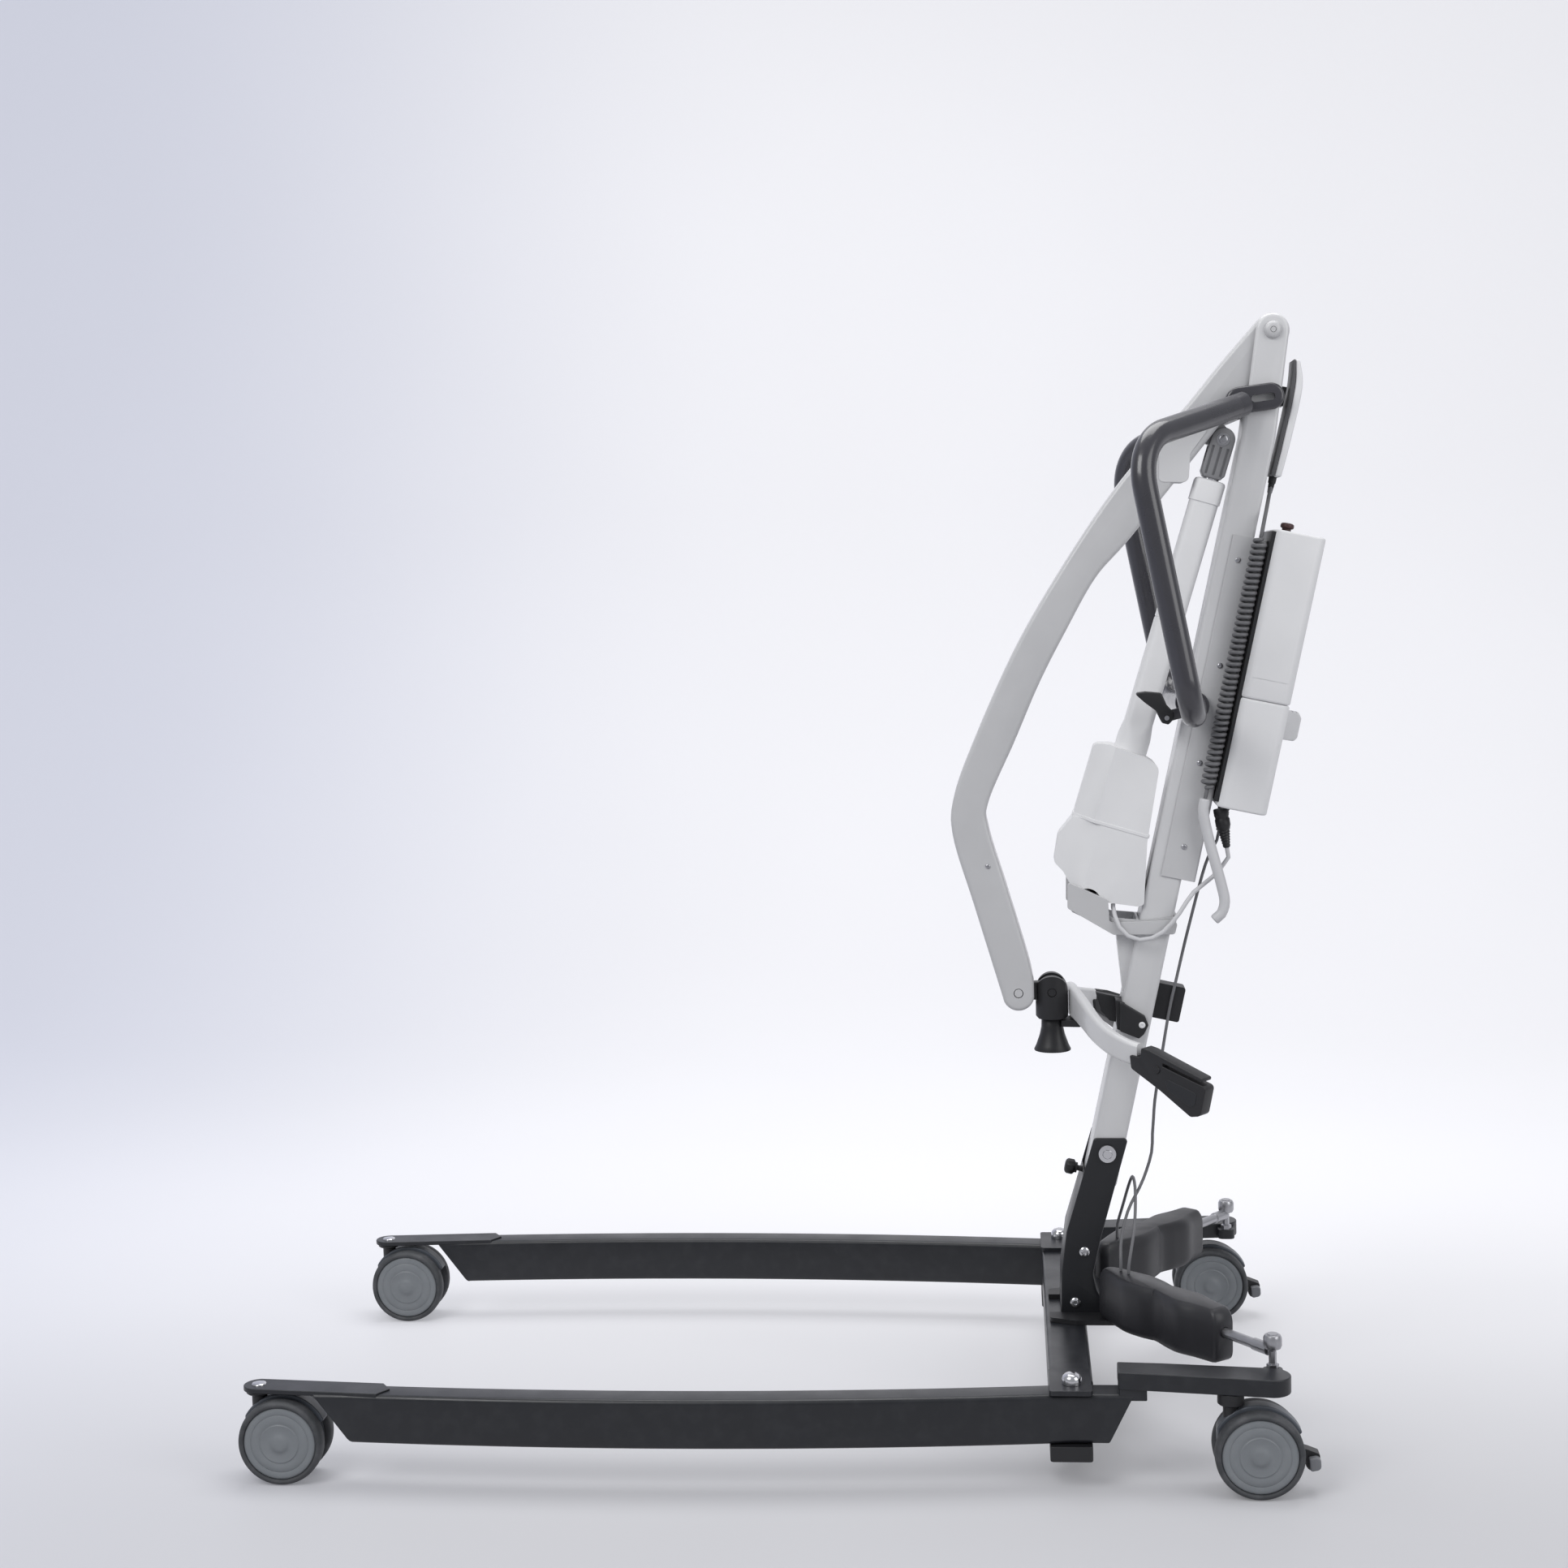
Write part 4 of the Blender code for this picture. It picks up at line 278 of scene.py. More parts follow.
def make_floor():
    """A pale floor that runs up into a backdrop; camera, mirror and glass rays see some glow of its own."""
    material, tree, sockets = shader_of("studio_floor")
    places = object_places(tree)
    patches = spread(tree, link_noise(tree, places, FLOOR_PATCH, 2.0), 0.0, 1.0)
    rays = node(tree, "LightPath", {})
    seen = math_node(tree, "MAXIMUM", rays["Is Camera Ray"], rays["Is Glossy Ray"])
    seen = math_node(tree, "MAXIMUM", seen, rays["Is Transmission Ray"])
    for key, value in {"Roughness": 0.6, "Base Color": blend_colours(tree, patches, FLOOR_COLOUR, FLOOR_COLOUR_WARM),
                       "Emission Color": studio_glow(tree, places), "Emission Strength": seen}.items():
        wire(tree, value, sockets[key])
    profile = [(FLOOR_FRONT, 0.0)]
    for step in range(BACKDROP_STEPS + 1):
        angle = step / BACKDROP_STEPS * pi / 2
        profile.append((BACKDROP_START + BACKDROP_ROUND * sin(angle), BACKDROP_ROUND * (1 - cos(angle))))
    profile.append((BACKDROP_START + BACKDROP_ROUND, BACKDROP_TOP))
    count = len(profile)
    verts = [(side * FLOOR_HALF, y, z) for side in (-1, 1) for y, z in profile]
    faces = [(i, count + i, count + i + 1, i + 1) for i in range(count - 1)]
    data = bpy.data.meshes.new("floor")
    data.from_pydata(verts, [], faces)
    data.materials.append(material)
    data.shade_smooth()
    link("floor", data)


def make_light():
    """A bright world, brighter still where the camera sees it, and three soft lamps."""
    world_light = bpy.data.worlds.new("studio")
    world_light.use_nodes = True
    tree = world_light.node_tree
    background = tree.nodes["Background"].inputs
    background["Color"].default_value = (*WORLD_COLOUR, 1.0)
    seen = math_node(tree, "MULTIPLY", node(tree, "LightPath", {})["Is Camera Ray"], WORLD_SEEN)
    wire(tree, math_node(tree, "MAXIMUM", seen, WORLD_STRENGTH), background["Strength"])
    bpy.context.scene.world = world_light
    for name, place, aim, size, power in LAMPS:
        data = bpy.data.lights.new(name, "AREA")
        data.shape = "RECTANGLE"
        data.size, data.size_y = size
        data.energy = power
        lamp = link(name, data)
        lamp.location = place
        lamp.rotation_euler = (Vector(aim) - Vector(place)).to_track_quat("-Z", "Y").to_euler()
    bpy.context.scene.view_settings.view_transform = "Standard"


# The cords repeat the part's own routes, with finer steps.
GAP = 0.0003
CABLE_RADIUS = 0.0027
THIN_CABLE_RADIUS = 0.0019
CURLY_WIRE = 0.0024
CURLY_RADIUS = 0.00975
CURLY_X = 0.0255
CURLY_OUT = 0.0455
CURLS = 43
CURL_POINTS = 16
LINE_STEPS = 60
HANDSET_END = (0.0292, 0.0, 0.8500)
BOX_LOW = 0.450
DRIVE_LOW = 0.1175
DRIVE_HIGH = 0.180
ACTUATOR_PLUG = Vector((0.0480, -0.0260, 0.4460))
ACTUATOR_PLUG_TURN = Vector((0.36, 0.0, -0.933)).normalized()
ACTUATOR_PLUG_LENGTH = 0.048
DRIVE_PLUG = Vector((0.0560, 0.0120, 0.4497))
DRIVE_PLUG_LENGTH = 0.034


def smooth_line(points, steps):
    """Points along a smooth curve through the given ones, evenly spread by their number."""
    known = [np.array(p, dtype=float) for p in points]
    known = [2 * known[0] - known[1], *known, 2 * known[-1] - known[-2]]
    spans = len(points) - 1
    found = []
    for step in range(steps + 1):
        place = min(step * spans / steps, spans - 1e-9)
        i = int(place)
        t = place - i
        a, b, c, d = known[i:i + 4]
        square = (2 * a - 5 * b + 4 * c - d) * t**2
        found.append(tuple(0.5 * (2 * b + (c - a) * t + square + (3 * b - a - 3 * c + d) * t**3)))
    return found


def even_points(fine, spacing):
    """Points along a fine line, spread evenly by length."""
    fine = np.array(fine)
    lengths = np.concatenate([[0.0], np.cumsum(np.linalg.norm(np.diff(fine, axis=0), axis=1))])
    marks = np.linspace(0.0, lengths[-1], max(2, round(lengths[-1] / spacing)) + 1)
    return [Vector([float(np.interp(mark, lengths, fine[:, axis])) for axis in range(3)]) for mark in marks]


def even_line(points, spacing):
    return even_points(smooth_line(points, LINE_STEPS * (len(points) - 1)), spacing)


def led_line(points, spacing):
    """Evenly spaced between the second point and the last but one, with a straight step at either end."""
    fine = smooth_line(points, LINE_STEPS * (len(points) - 1))[LINE_STEPS:-LINE_STEPS]
    return [Vector(points[0]), *even_points(fine, spacing), Vector(points[-1])]


def curl_point(step, start, end):
    """A point of the curls: a helix about the line from start to end, drawn in to its axis at both ends."""
    forward = (end - start).normalized()
    side = Vector((0.0, 1.0, 0.0))
    side = (side - forward * side.dot(forward)).normalized()
    up = forward.cross(side)
    t = step / (CURLS * CURL_POINTS)
    ramp = min(1.0, min(t, 1 - t) * CURLS)
    radius = (CURLY_RADIUS - CURLY_WIRE) * (0.5 - 0.5 * cos(pi * ramp))
    angle = 2 * pi * step / CURL_POINTS
    return start + (end - start) * t + side * radius * cos(angle) + up * radius * sin(angle)


def curly_points():
    """The handset's tail, a straight lead, the curls beside the mast and a straight end into the guide tube."""
    lead = Vector((0.0, 0.0, 4.5 * CURLY_WIRE))
    top = Vector((CURLY_X, -CURLY_OUT, mast_side((0.2468, 1.0820))[0][1]))
    end = Vector((CURLY_X, -CURLY_OUT, BOX_LOW + 0.006 + GAP))
    tail = [HANDSET_END, (HANDSET_END[0], -0.001, HANDSET_END[2] - 0.012), (0.0282, -0.010, 0.8290),
            (0.0268, -0.028, 0.8120), (CURLY_X, -0.0420, 0.7990), tuple(top)]
    points = even_line(tail, 6 * CURLY_WIRE)[:-1]
    curls = [curl_point(step, top - lead, end + lead) for step in range(CURLS * CURL_POINTS + 1)]
    return points + [top - lead * 0.35] + curls + [end + lead * 0.5, end]


def on_mast(points):
    """Places in the mast's own frame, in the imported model's."""
    c, s = cos(MAST_LEAN), sin(MAST_LEAN)
    return [world(FOLD[0] + x * c + z * s, y, FOLD[1] - x * s + z * c) for x, y, z in points]


def cord_routes():
    """Each cord's name, body, look, stiffness, radius and line, from the end where it leaves its plug or housing."""
    tip = ACTUATOR_PLUG + ACTUATOR_PLUG_TURN * (ACTUATOR_PLUG_LENGTH + GAP)
    actuator = in_mast(mm((65.5, -27, 628.3), (65.5, -27, 624.5), (67.2, -39.5, 615), (76.5, -44.5, 595.5),
                          (96.8, -45.5, 586), (120.3, -45.5, 592.5), (141, -43, 613), (162, -37, 642),
                          (186, -29, 660)))
    actuator += [tuple(tip + ACTUATOR_PLUG_TURN * 0.012), tuple(tip)]
    x, y, z = DRIVE_PLUG
    upper = [(x, y, z - DRIVE_PLUG_LENGTH - GAP), (x, y, z - 0.046)]
    upper += in_mast(mm((180, 4, 670), (158, -9, 595), (142, -15.7, 532), (133, -15.8, 493), (122.5, -12, 430),
                        (115, -6, 380), (113, -4.2, 355), (112.2, -4, 345)))
    inlet = 1000 * (DRIVE_HIGH + GAP)
    lower = mm((112.17, -4, 344.6), (111.4, -4.2, 335), (109.5, -6, 310), (97.5, -12, 276), (79, -30, 245),
               (69, -52, 215), (67.2, -68, 195), (67.2, -70, 188), (67.2, -70, inlet))
    across = mm((76, -81, inlet), (76, -81, 188), (78, -78, 200), (85, -60, 235), (88, -30, 268), (87, 0, 279),
                (84, 30, 264), (76, 58, 225), (70, 71, 199), (69.5, 73, 188), (69.5, 73, inlet))
    yield "curly_cord", "mast", "curly", "limp", CURLY_WIRE, on_mast(curly_points())
    for name, body, look, radius, turns, points in (
            ("actuator_cable", "mast", "cable", CABLE_RADIUS, 5.5, actuator),
            ("drive_cable_upper", "mast", "thin_cable", THIN_CABLE_RADIUS, 6, upper),
            ("drive_cable_lower", "base", "thin_cable", THIN_CABLE_RADIUS, 6, lower),
            ("drive_cable_link", "base", "thin_cable", THIN_CABLE_RADIUS, 6, across)):
        line = led_line(points, turns * radius)
        yield name, body, look, "medium", radius, on_mast(line) if body == "mast" else [world(*p) for p in line]


def make_cords():
    """Round cords along their lines; each stands for the CAD node of its name."""
    for name, body, look, stiffness, radius, points in cord_routes():
        curve = bpy.data.curves.new(f"{name}_round", "CURVE")
        curve.dimensions = "3D"
        spline = curve.splines.new("POLY")
        spline.points.add(len(points) - 1)
        for point, place in zip(spline.points, points):
            point.co = (*place, 1.0)
        curve.bevel_depth = radius
        curve.bevel_resolution = 5
        curve.use_fill_caps = True
        curve.materials.append(LOOKS[look])
        piece = link(f"{name}_round", curve)
        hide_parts(name)
        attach(piece, body)
        tuple(points[0])
        sum((b - a).length for a, b in zip(points, points[1:]))


# Frames of the moving groups, as the part's source sets them.
MAST_WIDTH = 0.060
MAST_DEPTH = 0.040
MAST_BEND = 0.892
BOOM_PIVOT = (0.2631, 1.3161)
TILT_PIVOT = (-0.0105, 0.5170)
SWIVEL_YAW = radians(6.5)
ACTUATOR_TOP = (0.205, 1.189)
ACTUATOR_FOOT = (0.034, 0.632)
ACTUATOR_REACH = (ACTUATOR_TOP[0] - ACTUATOR_FOOT[0], ACTUATOR_TOP[1] - ACTUATOR_FOOT[1])
ACTUATOR_LENGTH = hypot(*ACTUATOR_REACH)
DRIVE_PIVOT = (0.054, 0.056)
BALL = (0.2267, 0.280, 0.164)
SIDES = (("left", -1), ("right", 1))

# Holes: half the length of a rod that cuts right through, and the radii for bolts and pins.
THROUGH = 0.06
BOLT_HOLE = 0.0066
PIN_HOLE = 0.0056


def at(x, y, z, turn=0.0, axis="Y"):
    return Matrix.Translation(Vector((x, y, z))) @ Matrix.Rotation(turn, 4, axis)


BASE = at(SHIFT, 0, 0)
MAST = BASE @ at(FOLD[0], 0, FOLD[1], MAST_LEAN)
BOOM = BASE @ at(BOOM_PIVOT[0], 0, BOOM_PIVOT[1])
TILT = BASE @ at(TILT_PIVOT[0], 0, TILT_PIVOT[1])
SWIVEL = TILT @ at(0, 0, 0, SWIVEL_YAW, "Z")
ACTUATOR = BASE @ at(ACTUATOR_FOOT[0], 0, ACTUATOR_FOOT[1], atan2(*ACTUATOR_REACH))
HOLDERS = {"base": BASE, "leg_left": BASE, "leg_right": BASE, "mast": MAST, "lock_knob": MAST, "handle_lever": MAST,
           "stop_button": MAST, "boom": BOOM, "yoke": TILT, "spreader": SWIVEL, "actuator": ACTUATOR}


# Outlines are lists of places in a plane; shapes are vertices and faces.

def arc(x, y, radius, first, last, steps):
    angles = [radians(first + (last - first) * step / steps) for step in range(steps + 1)]
    return [(x + radius * cos(a), y + radius * sin(a)) for a in angles]


def corner_arc(here, before, after, half, reach, steps):
    """The arc that meets a corner's two sides at the same reach from it; half is half the angle between them."""
    centre = here + (before + after).normalized() * hypot(reach, reach * tan(half))
    first = here + before * reach - centre
    last = here + after * reach - centre
    turn = first.angle(last)
    shares = [k / steps for k in range(steps + 1)]
    return [centre + (first * sin((1 - t) * turn) + last * sin(t * turn)) / sin(turn) for t in shares]


def rounded(corners, steps=6):
    """An outline whose corners (x, y, radius) are rounded."""
    outline = []
    for i, (x, y, radius) in enumerate(corners):
        here = Vector((x, y))
        before = Vector(corners[i - 1][:2]) - here
        after = Vector(corners[(i + 1) % len(corners)][:2]) - here
        half = before.angle(after) / 2
        reach = min(radius / tan(half), 0.48 * before.length, 0.48 * after.length)
        if radius <= 0 or reach < 1e-6:
            outline.append((x, y))
        else:
            outline += corner_arc(here, before.normalized(), after.normalized(), half, reach, steps)
    return outline


def bend_route(corners, steps):
    """A route with straight runs and rounded corners (x, y, z, radius)."""
    route = []
    for i, (*place, radius) in enumerate(corners):
        here = Vector(place)
        if radius <= 0 or i in (0, len(corners) - 1):
            route.append(here)
            continue
        before = (Vector(corners[i - 1][:3]) - here).normalized()
        after = (Vector(corners[i + 1][:3]) - here).normalized()
        half = before.angle(after) / 2
        route += corner_arc(here, before, after, half, radius / tan(half), steps)
    return route


def rounded_box(x0, x1, y0, y1, radius, steps=6):
    return rounded([(x0, y0, radius), (x1, y0, radius), (x1, y1, radius), (x0, y1, radius)], steps)


def stadium(x0, z0, x1, z1, radius, steps=16):
    """A long rounded outline about the line from one place to the other."""
    rise = degrees(atan2(z1 - z0, x1 - x0))
    return arc(x1, z1, radius, rise - 90, rise + 90, steps) + arc(x0, z0, radius, rise + 90, rise + 270, steps)


def loft(rings, closed=False):
    """Rings joined in order; the first and last are capped, or meet each other in a closed one."""
    count = len(rings[0])
    faces = []
    for i in range(len(rings) if closed else len(rings) - 1):
        here, there = i * count, (i + 1) % len(rings) * count
        faces += [(here + k, here + (k + 1) % count, there + (k + 1) % count, there + k) for k in range(count)]
    if not closed:
        last = (len(rings) - 1) * count
        faces += [tuple(range(count))[::-1], tuple(range(last, last + count))]
    return [tuple(p) for ring in rings for p in ring], faces


def moved(shape, matrix):
    return [tuple(matrix @ Vector(v)) for v in shape[0]], shape[1]


def circle(sides):
    return [2 * pi * k / sides for k in range(sides)]


def lathe(profile, sides=64, closed=False, place=None):
    """Turned about Z, or about a line through the place: (radius, height) in order. A closed profile makes a ring."""
    rings = [[(max(r, 1e-5) * cos(a), max(r, 1e-5) * sin(a), z) for a in circle(sides)] for r, z in profile]
    return moved(loft(rings, closed), at(*place)) if place else loft(rings, closed)


def prism(outline, low, high):
    """A side-view outline drawn out across the lift."""
    return loft([[(x, y, z) for x, z in outline] for y in (low, high)])


def flank(outline, side, near, far):
    """A prism on one side of the middle plane."""
    return prism(outline, *sorted((side * near, side * far)))


def slab(outline, low, high):
    """A plan outline drawn upwards."""
    return loft([[(x, y, z) for x, y in outline] for z in (low, high)])


def block(x0, x1, y0, y1, z0, z1):
    return slab([(x0, y0), (x1, y0), (x1, y1), (x0, y1)], z0, z1)


def pipe(route, radius, sides):
    """A round tube along a route, turned as little as its bends ask for."""
    points = [Vector(p) for p in route]
    forward = (points[1] - points[0]).normalized()
    side = Vector((0, 1, 0))
    side = side - forward * side.dot(forward)
    if side.length < 0.1:
        side = Vector((1, 0, 0)) - forward * forward.x
    side.normalize()
    rings = []
    for i, point in enumerate(points):
        forward = (points[min(i + 1, len(points) - 1)] - points[max(i - 1, 0)]).normalized()
        side = (side - forward * side.dot(forward)).normalized()
        up = forward.cross(side)
        rings.append([point + side * radius * cos(a) + up * radius * sin(a) for a in circle(sides)])
    return loft(rings)


def joined(*shapes):
    verts = []
    faces = []
    for some_verts, some_faces in shapes:
        faces += [tuple(i + len(verts) for i in face) for face in some_faces]
        verts += some_verts
    return verts, faces


def along_y(shape, place=(0, 0, 0)):
    """A shape made about Z, laid along Y at a place."""
    return moved(shape, at(*place, -pi / 2, "X"))


def rod_between(start, end, profile, sides=40):
    """Turned about the line from start to end: (radius, distance from start)."""
    turn = (Vector(end) - Vector(start)).to_track_quat("Z", "Y").to_matrix().to_4x4()
    return moved(lathe(profile, sides), Matrix.Translation(Vector(start)) @ turn)


def cross_rod(x, z, half, radius):
    return rod_between((x, -half, z), (x, half, z), [(radius, 0.0), (radius, 2 * half)])


def cross_bolt(x, z, reach, head, sides):
    """A bolt across the mast, with the same head (radius, depth from its face) at both ends."""
    profile = head + [(r, 2 * reach - depth) for r, depth in reversed(head)]
    return rod_between((x, -reach, z), (x, 1.0, z), profile, sides)


def screws(places, y, side, head=0.0042, tall=0.0022):
    """Pan-head screws on a face that looks along Y."""
    rings = [(head * 0.9, -0.0012), (head, 0.0), (head, tall * 0.45), (head * 0.82, tall * 0.8), (head * 0.5, tall),
             (head * 0.42, tall), (head * 0.36, tall * 0.45), (0.0, tall * 0.45)]
    return joined(*(moved(lathe(rings, 28), at(x, side * y, z, -side * pi / 2, "X")) for x, z in places))


# Meshes: pieces, and shapes that are reshaped.
SHARP = 32.0


def mesh_of(shape):
    mesh = bmesh.new()
    spots = [mesh.verts.new(v) for v in shape[0]]
    for face in shape[1]:
        mesh.faces.new([spots[i] for i in face])
    bmesh.ops.recalc_face_normals(mesh, faces=mesh.faces)
    return mesh


def link_shape(name, shape):
    mesh = mesh_of(shape)
    data = bpy.data.meshes.new(name)
    mesh.to_mesh(data)
    mesh.free()
    return link(name, data)


def soften(piece, width, sharp, segments, **settings):
    """A bevel on a piece's sharp edges, left as a modifier."""
    rounding = piece.modifiers.new("rounding", "BEVEL")
    for key, value in {"width": width, "segments": segments, "limit_method": "ANGLE",
                       "angle_limit": radians(sharp), **settings}.items():
        setattr(rounding, key, value)


def make_piece(name, shape, look, body, stands_for=None, holder=None, bevel=0.0, sharp=SHARP, segments=3):
    """A piece of the visual model, given in its holder's frame; it rides the body and may stand for a CAD node."""
    piece = link_shape(name, moved(shape, holder or HOLDERS[body]))
    piece.data.materials.append(LOOKS[look])
    piece.data.shade_smooth()
    piece.data.set_sharp_from_angle(angle=radians(sharp))
    if bevel:
        soften(piece, bevel, sharp, segments, harden_normals=True, miter_outer="MITER_ARC")
    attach(piece, body)
    if stands_for:
        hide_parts(stands_for)


def eased(shape, width, segments=3, sharp=SHARP):
    """Rounds the sharp edges."""
    mesh = mesh_of(shape)
    edges = [e for e in mesh.edges if len(e.link_faces) == 2 and e.calc_face_angle(0) > radians(sharp)]
    bmesh.ops.bevel(mesh, geom=edges, offset=width, segments=segments, profile=0.5, affect="EDGES",
                    clamp_overlap=True)
    mesh.verts.index_update()
    made = [tuple(v.co) for v in mesh.verts], [tuple(v.index for v in f.verts) for f in mesh.faces]
    mesh.free()
    return made


def carve(shape, *cutters, operation="DIFFERENCE"):
    """Cuts the cutters out of the shape, or keeps what lies inside them too."""
    base, *tools = [link_shape("passing", passing) for passing in (shape, *cutters)]
    for tool in tools:
        step = base.modifiers.new("cut", "BOOLEAN")
        step.operation = operation
        step.solver = "EXACT"
        step.object = tool
    found = base.evaluated_get(bpy.context.evaluated_depsgraph_get()).to_mesh()
    made = [tuple(v.co) for v in found.vertices], [tuple(f.vertices) for f in found.polygons]
    for passing in [base, *tools]:
        data = passing.data
        bpy.data.objects.remove(passing)
        bpy.data.meshes.remove(data)
    return made


# Base: casters, legs, crossbar.
WHEEL_RADIUS = 0.05
WHEEL_HALF = 0.03
WHEEL_TRAIL = 0.03
TYRE_WIDTH = 0.0195
RIM_RADIUS = 0.0428
WHEEL_SIDES = 96
FRONT_STEM = (-0.948, 0.296)
REAR_STEM = (0.1765, 0.311)
LEG_PIVOT_Y = 0.29
LEG_BOTTOM = 0.052
LEG_TOP = 0.11
LEG_WIDTH = 0.038
LEG_BOW = 0.026
NOSE_BACK = -0.8


def make_wheel(name, holder):
    """Twin wheel: two tyres and a grey hub with shallow rings on each face."""
    inner = WHEEL_HALF - TYRE_WIDTH
    r = WHEEL_RADIUS
    tyre = [(RIM_RADIUS, inner), (r - 0.003, inner), (r - 0.001, inner + 0.001), (r, inner + 0.0035),
            (r, WHEEL_HALF - 0.0062), (r - 0.0008, WHEEL_HALF - 0.003), (r - 0.0024, WHEEL_HALF - 0.0008),
            (0.0462, WHEEL_HALF), (0.0446, WHEEL_HALF - 0.0003), (0.0432, WHEEL_HALF - 0.0016),
            (RIM_RADIUS, WHEEL_HALF - 0.004)]
    face = mm((0, 0.6), (5, 0.5), (9.5, 0), (10.5, -1), (15, -1.2), (20.5, -0.8), (22.2, -0.4), (23.2, -1.3),
              (24.2, -1.3), (25.2, -0.7), (33, -0.9), (34.2, -1.7), (35.2, -1), (40, -1.2), (41.7, -1.6),
              (42.7, -2.8))
    outer = [(radius, WHEEL_HALF - 0.0006 + depth) for radius, depth in face]
    back = [(0.0427, inner + 0.0006), (0.012, inner + 0.0006), (0.0062, inner)]
    half = outer + back
    hub = half + [(radius, -height) for radius, height in reversed(half)]
    tyres = joined(lathe(tyre, WHEEL_SIDES, True),
                   lathe([(radius, -height) for radius, height in tyre], WHEEL_SIDES, True))
    centre = (WHEEL_TRAIL, 0, WHEEL_RADIUS)
    body = f"wheel_{name}"
    make_piece(f"tyres_{name}", along_y(tyres, centre), "tyre", body, holder=holder, sharp=50)
    make_piece(f"hub_{name}", along_y(lathe(hub, WHEEL_SIDES), centre), "hub", body, body, holder=holder, sharp=50)


def make_hood(name, holder, top):
    """Hood and fork between the two wheels, with the round neck over it."""
    half = WHEEL_HALF - TYRE_WIDTH - 0.0012
    r = WHEEL_RADIUS + 0.003
    x = WHEEL_TRAIL
    z = WHEEL_RADIUS
    first = degrees(atan2((r * r - (x + 0.016) ** 2) ** 0.5, -(x + 0.016)))
    outline = arc(x, z, r, first, 24, 40) + [(x + 0.036, z + 0.015), (x + 0.0355, z - 0.014)]
    outline += arc(x, z, 0.018, -40, -140, 16) + [(-0.016, z + 0.004)]
    crown = 2 * WHEEL_RADIUS + 0.0012
    neck = [(half - 0.0005, crown - 0.016), (half - 0.0005, crown), (0.0135, crown + 0.0006), (0.015, crown + 0.002),
            (0.015, top - 0.0006), (0.0144, top)]
    make_piece(f"hood_{name}", prism(outline, -half, half), "hood", f"caster_{name}", f"caster_{name}",
               holder=holder, bevel=0.0022)
    make_piece(f"neck_{name}", lathe(neck, 48), "black", f"caster_{name}", holder=holder)


def make_pedal(name, holder):
    """Foot pedal in the notch behind a rear hood: barrel, arm and broad tread."""
    hinge = holder @ at(WHEEL_TRAIL + 0.0425, 0, WHEEL_RADIUS + 0.001)
    arm = rounded(mm((0, 4.5, 2), (12, 1, 4), (25, -4, 3), (25.5, -20, 3), (13, -22.8, 3), (9.5, -18, 2),
                     (9.5, -8, 2), (-1, -4.5, 1)), 4)
    tread = rounded(mm((11.8, -7, 2), (25.2, -4.5, 5), (25.8, -19.5, 5), (13.5, -22.2, 3)), 5)
    barrel = lathe(mm((5.2, -8.5), (6, -7.7), (6, 7.7), (5.2, 8.5)), 24)
    body = f"brake_{name}"
    make_piece(f"pedal_arm_{name}", joined(prism(arm, -0.0078, 0.0078), along_y(barrel)), "black", body, body,
               holder=hinge, bevel=0.0006)
    make_piece(f"pedal_tread_{name}", prism(tread, -0.016, 0.016), "tab", body, holder=hinge, bevel=0.0024)


def leg_line(x):
    """How far out a leg's middle line lies: it bows outwards between its pivot and its front caster."""
    if x >= 0:
        return LEG_PIVOT_Y
    t = min(1.0, x / FRONT_STEM[0])
    return LEG_PIVOT_Y + (FRONT_STEM[1] - LEG_PIVOT_Y) * t + LEG_BOW * 4 * t * (1 - t)


def mirrored(outline, side):
    return [(x, side * y) for x, y in outline]


